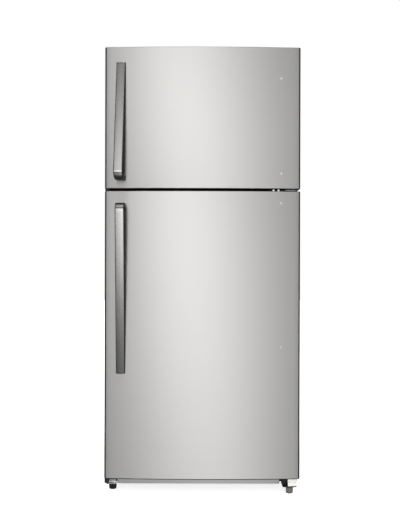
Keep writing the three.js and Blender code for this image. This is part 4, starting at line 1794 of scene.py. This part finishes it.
@dataclass
class Fittings:
    """Shelves, drawers, door bins, light and control of both compartments."""

    def build(self) -> None:
        """Builds every loose or clipped-in fitting."""
        GlassShelf("shelf_upper", 830 * MM).build()
        DrawerShelf("shelf_middle", 590 * MM).build()
        CrisperCover("crisper_cover", 333 * MM, glass=5 * MM).build()
        WireShelf().build()
        for node in ("crisper_left", "crisper_right", "deli_drawer"):
            Tub(node, open_back=False).build()
        for node in (
            "fridge_door_bin_lower",
            "fridge_door_bin_middle",
            "fridge_door_bin_upper",
            "freezer_door_bin",
        ):
            Tub(node, open_back=True).build()
        softened("control_housing", WHITE_ABS, Edge.SOFT)
        softened("lamp_cover", CLEAR_PS, Edge.SOFT)
        softened("light_switch", WHITE_ABS, Edge.STAMPED)
        Knob().build()


# --------------------------------------------------------------------------- studio


# Brightness of the studio by direction: degrees to the right of straight ahead of the doors,
# and degrees above the horizon.
ACROSS = (
    (-180, 0.9),
    (-135, 0.7),
    (-100, 0.1),
    (-60, 0.24),
    (-28, 0.32),
    (-15, 0.6),
    (-8, 1.22),
    (-2.5, 2.48),
    (3, 2.0),
    (8, 1.14),
    (15, 0.62),
    (28, 0.37),
    (60, 0.24),
    (100, 0.1),
    (135, 0.7),
    (180, 0.9),
)
UPWARD = (
    (-90, 0.12),
    (-55, 0.3),
    (-38, 0.72),
    (-27, 0.5),
    (-20, 0.12),
    (-14, 0.26),
    (-6, 1.1),
    (0, 1.5),
    (14, 1.45),
    (22, 0.85),
    (31, 0.28),
    (42, 0.3),
    (58, 0.9),
    (90, 1.0),
)


@dataclass
class Studio:
    """Pale floor, soft light and the camera."""

    distance: float = 2.5
    height: float = 0.8756
    side: float = -9.2 * MM
    lens: float = 44.19
    roll: float = 0.15
    sensor: float = 36.0
    light_lean: float = 0.16
    floor_reach: float = 14.0
    floor_glow: float = 0.75
    aim: tuple[float, float, float] = (0.0, 0.0, 0.8)

    def build(self) -> None:
        """Sets up the whole studio."""
        self.camera()
        self.world()
        self.floor()
        self.lamps()
        bpy.context.scene.view_settings.view_transform = "Standard"

    def camera(self) -> None:
        """Puts the camera level, in front of the doors."""
        data = bpy.data.cameras.new("camera")
        data.lens = self.lens
        data.sensor_width = self.sensor
        lens = bpy.data.objects.new("camera", data)
        bpy.context.scene.collection.objects.link(lens)
        lens.location = (self.side, DoorPlan().edge - self.distance, self.height)
        lens.rotation_euler = (math.radians(90), math.radians(-self.roll), 0)
        bpy.context.scene.camera = lens

    def ramp(
        self,
        tree: bpy.types.NodeTree,
        angle: bpy.types.NodeSocket,
        stops: Sequence[Point],
        span: float,
    ) -> bpy.types.NodeSocket:
        """Draws brightness as a smooth function of an angle.

        Args:
            tree: the world's node tree.
            angle: angle in radians.
            stops: (degrees, brightness) pairs in rising order.
            span: degrees from the middle of the ramp to either end.

        Returns:
            Socket that holds the brightness.
        """
        half = math.radians(span)
        unit = add_node(
            tree, "ShaderNodeMapRange", {"From Min": -half, "From Max": half}, {"Value": angle}
        )
        ramp = add_node(tree, "ShaderNodeValToRGB", links={"Fac": unit.outputs["Result"]})
        ramp.color_ramp.interpolation = "EASE"
        elements = ramp.color_ramp.elements
        while len(elements) > 1:
            elements.remove(elements[-1])
        for number, (degrees, level) in enumerate(stops):
            place = (degrees + span) / (2 * span)
            element = elements[0] if number == 0 else elements.new(place)
            element.position = place
            element.color = (level, level, level, 1)
        return ramp.outputs["Color"]

    def world(self) -> None:
        """Surrounds the object with one tall soft light in front of it and dark sides.

        The tall light leans a little, so that the doors brighten further left near the top.
        """
        world = bpy.data.worlds.new("studio")
        bpy.context.scene.world = world
        world.use_nodes = True
        tree = world.node_tree
        tree.nodes.clear()
        place = add_node(tree, "ShaderNodeTexCoord")
        axes = add_node(
            tree, "ShaderNodeSeparateXYZ", links={"Vector": place.outputs["Generated"]}
        )
        ahead = add_node(
            tree, "ShaderNodeMath", {"operation": "MULTIPLY", 1: -1.0}, {0: axes.outputs["Y"]}
        )
        azimuth = add_node(
            tree,
            "ShaderNodeMath",
            {"operation": "ARCTAN2"},
            {0: axes.outputs["X"], 1: ahead.outputs[0]},
        )
        climb = add_node(
            tree, "ShaderNodeMath", {"operation": "ARCSINE"}, {0: axes.outputs["Z"]}
        )
        leaning = add_node(
            tree,
            "ShaderNodeMath",
            {"operation": "MULTIPLY_ADD", 1: self.light_lean},
            {0: climb.outputs[0], 2: azimuth.outputs[0]},
        )
        across = self.ramp(tree, leaning.outputs[0], ACROSS, 180)
        upward = self.ramp(tree, climb.outputs[0], UPWARD, 90)
        both = add_node(
            tree,
            "ShaderNodeMix",
            {"data_type": "RGBA", "blend_type": "MULTIPLY", MIX_FACTOR: 1.0},
            {MIX_A: across, MIX_B: upward},
        )
        rays = add_node(tree, "ShaderNodeLightPath")
        seen = add_node(
            tree,
            "ShaderNodeMix",
            {"data_type": "RGBA", MIX_A: (1, 1, 1, 1)},
            {MIX_FACTOR: rays.outputs["Is Glossy Ray"], MIX_B: both.outputs[MIX_RESULT]},
        )
        glow = add_node(
            tree,
            "ShaderNodeBackground",
            {"Strength": 1.0},
            {"Color": seen.outputs[MIX_RESULT]},
        )
        add_node(tree, "ShaderNodeOutputWorld", links={"Surface": glow.outputs["Background"]})

    def floor(self) -> None:
        """Lays a pale floor with a soft shadow, which stays out of the steel's reflections."""
        reach = self.floor_reach
        corners = [(-reach, -reach), (reach, -reach), (reach, reach), (-reach, reach)]
        mesh = bpy.data.meshes.new("floor")
        mesh.from_pydata([(x, y, 0.0) for x, y in corners], [], [(0, 1, 2, 3)])
        floor = bpy.data.objects.new("floor", mesh)
        bpy.context.scene.collection.objects.link(floor)
        pale = bpy.data.materials.new("pale_floor")
        pale.use_nodes = True
        shader = pale.node_tree.nodes["Principled BSDF"]
        shader.inputs["Base Color"].default_value = linear("#f4f4f2")
        shader.inputs["Roughness"].default_value = 0.9
        shader.inputs["Specular IOR Level"].default_value = 0.0
        shader.inputs["Emission Color"].default_value = (1, 1, 1, 1)
        shader.inputs["Emission Strength"].default_value = self.floor_glow
        mesh.materials.append(pale)
        floor.visible_glossy = False

    def lamps(self) -> None:
        """Adds broad lamps for the shapes that are not polished."""
        for name, spot, size, power in (
            ("overhead", (0.0, -1.2, 3.6), 3.0, 30),
            ("left_fill", (-3.2, -2.4, 1.6), 2.0, 14),
            ("right_fill", (3.2, -2.4, 1.8), 2.0, 14),
            ("rear_fill", (0.5, 3.4, 2.2), 2.5, 25),
        ):
            data = bpy.data.lights.new(name, "AREA")
            data.size = size
            data.energy = power
            lamp = bpy.data.objects.new(name, data)
            bpy.context.scene.collection.objects.link(lamp)
            lamp.location = spot
            towards = Vector(self.aim) - Vector(spot)
            lamp.rotation_euler = towards.to_track_quat("-Z", "Y").to_euler()
            lamp.visible_glossy = False


def main() -> None:
    """Builds the studio, then each assembly of the refrigerator, and reports every piece."""
    logging.basicConfig(level=logging.INFO, format="%(name)s: %(message)s")
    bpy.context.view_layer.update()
    Studio().build()
    plan = DoorPlan()
    assemblies = [
        Cabinet(),
        DoorLeaf("freezer", (1593 * MM, 1230 * MM), plan, CornerStop(drop=8.8 * MM)),
        DoorLeaf("fridge", (1116 * MM, 566 * MM), plan, CornerStop(), lip_below=1.4 * MM),
        Handle("freezer_handle", grows_up=False, lean=0.12),
        Handle("fridge_handle", grows_up=True, lean=0.0),
        Hinges(),
        Supports(),
        Machinery(),
        Fittings(),
    ]
    for assembly in assemblies:
        before = set(bpy.data.objects.keys())
        assembly.build()
        for piece in sorted(set(bpy.data.objects.keys()) - before):
            LOG.info("%s: built %s", type(assembly).__name__, piece)


if __name__ == "__main__":
    main()
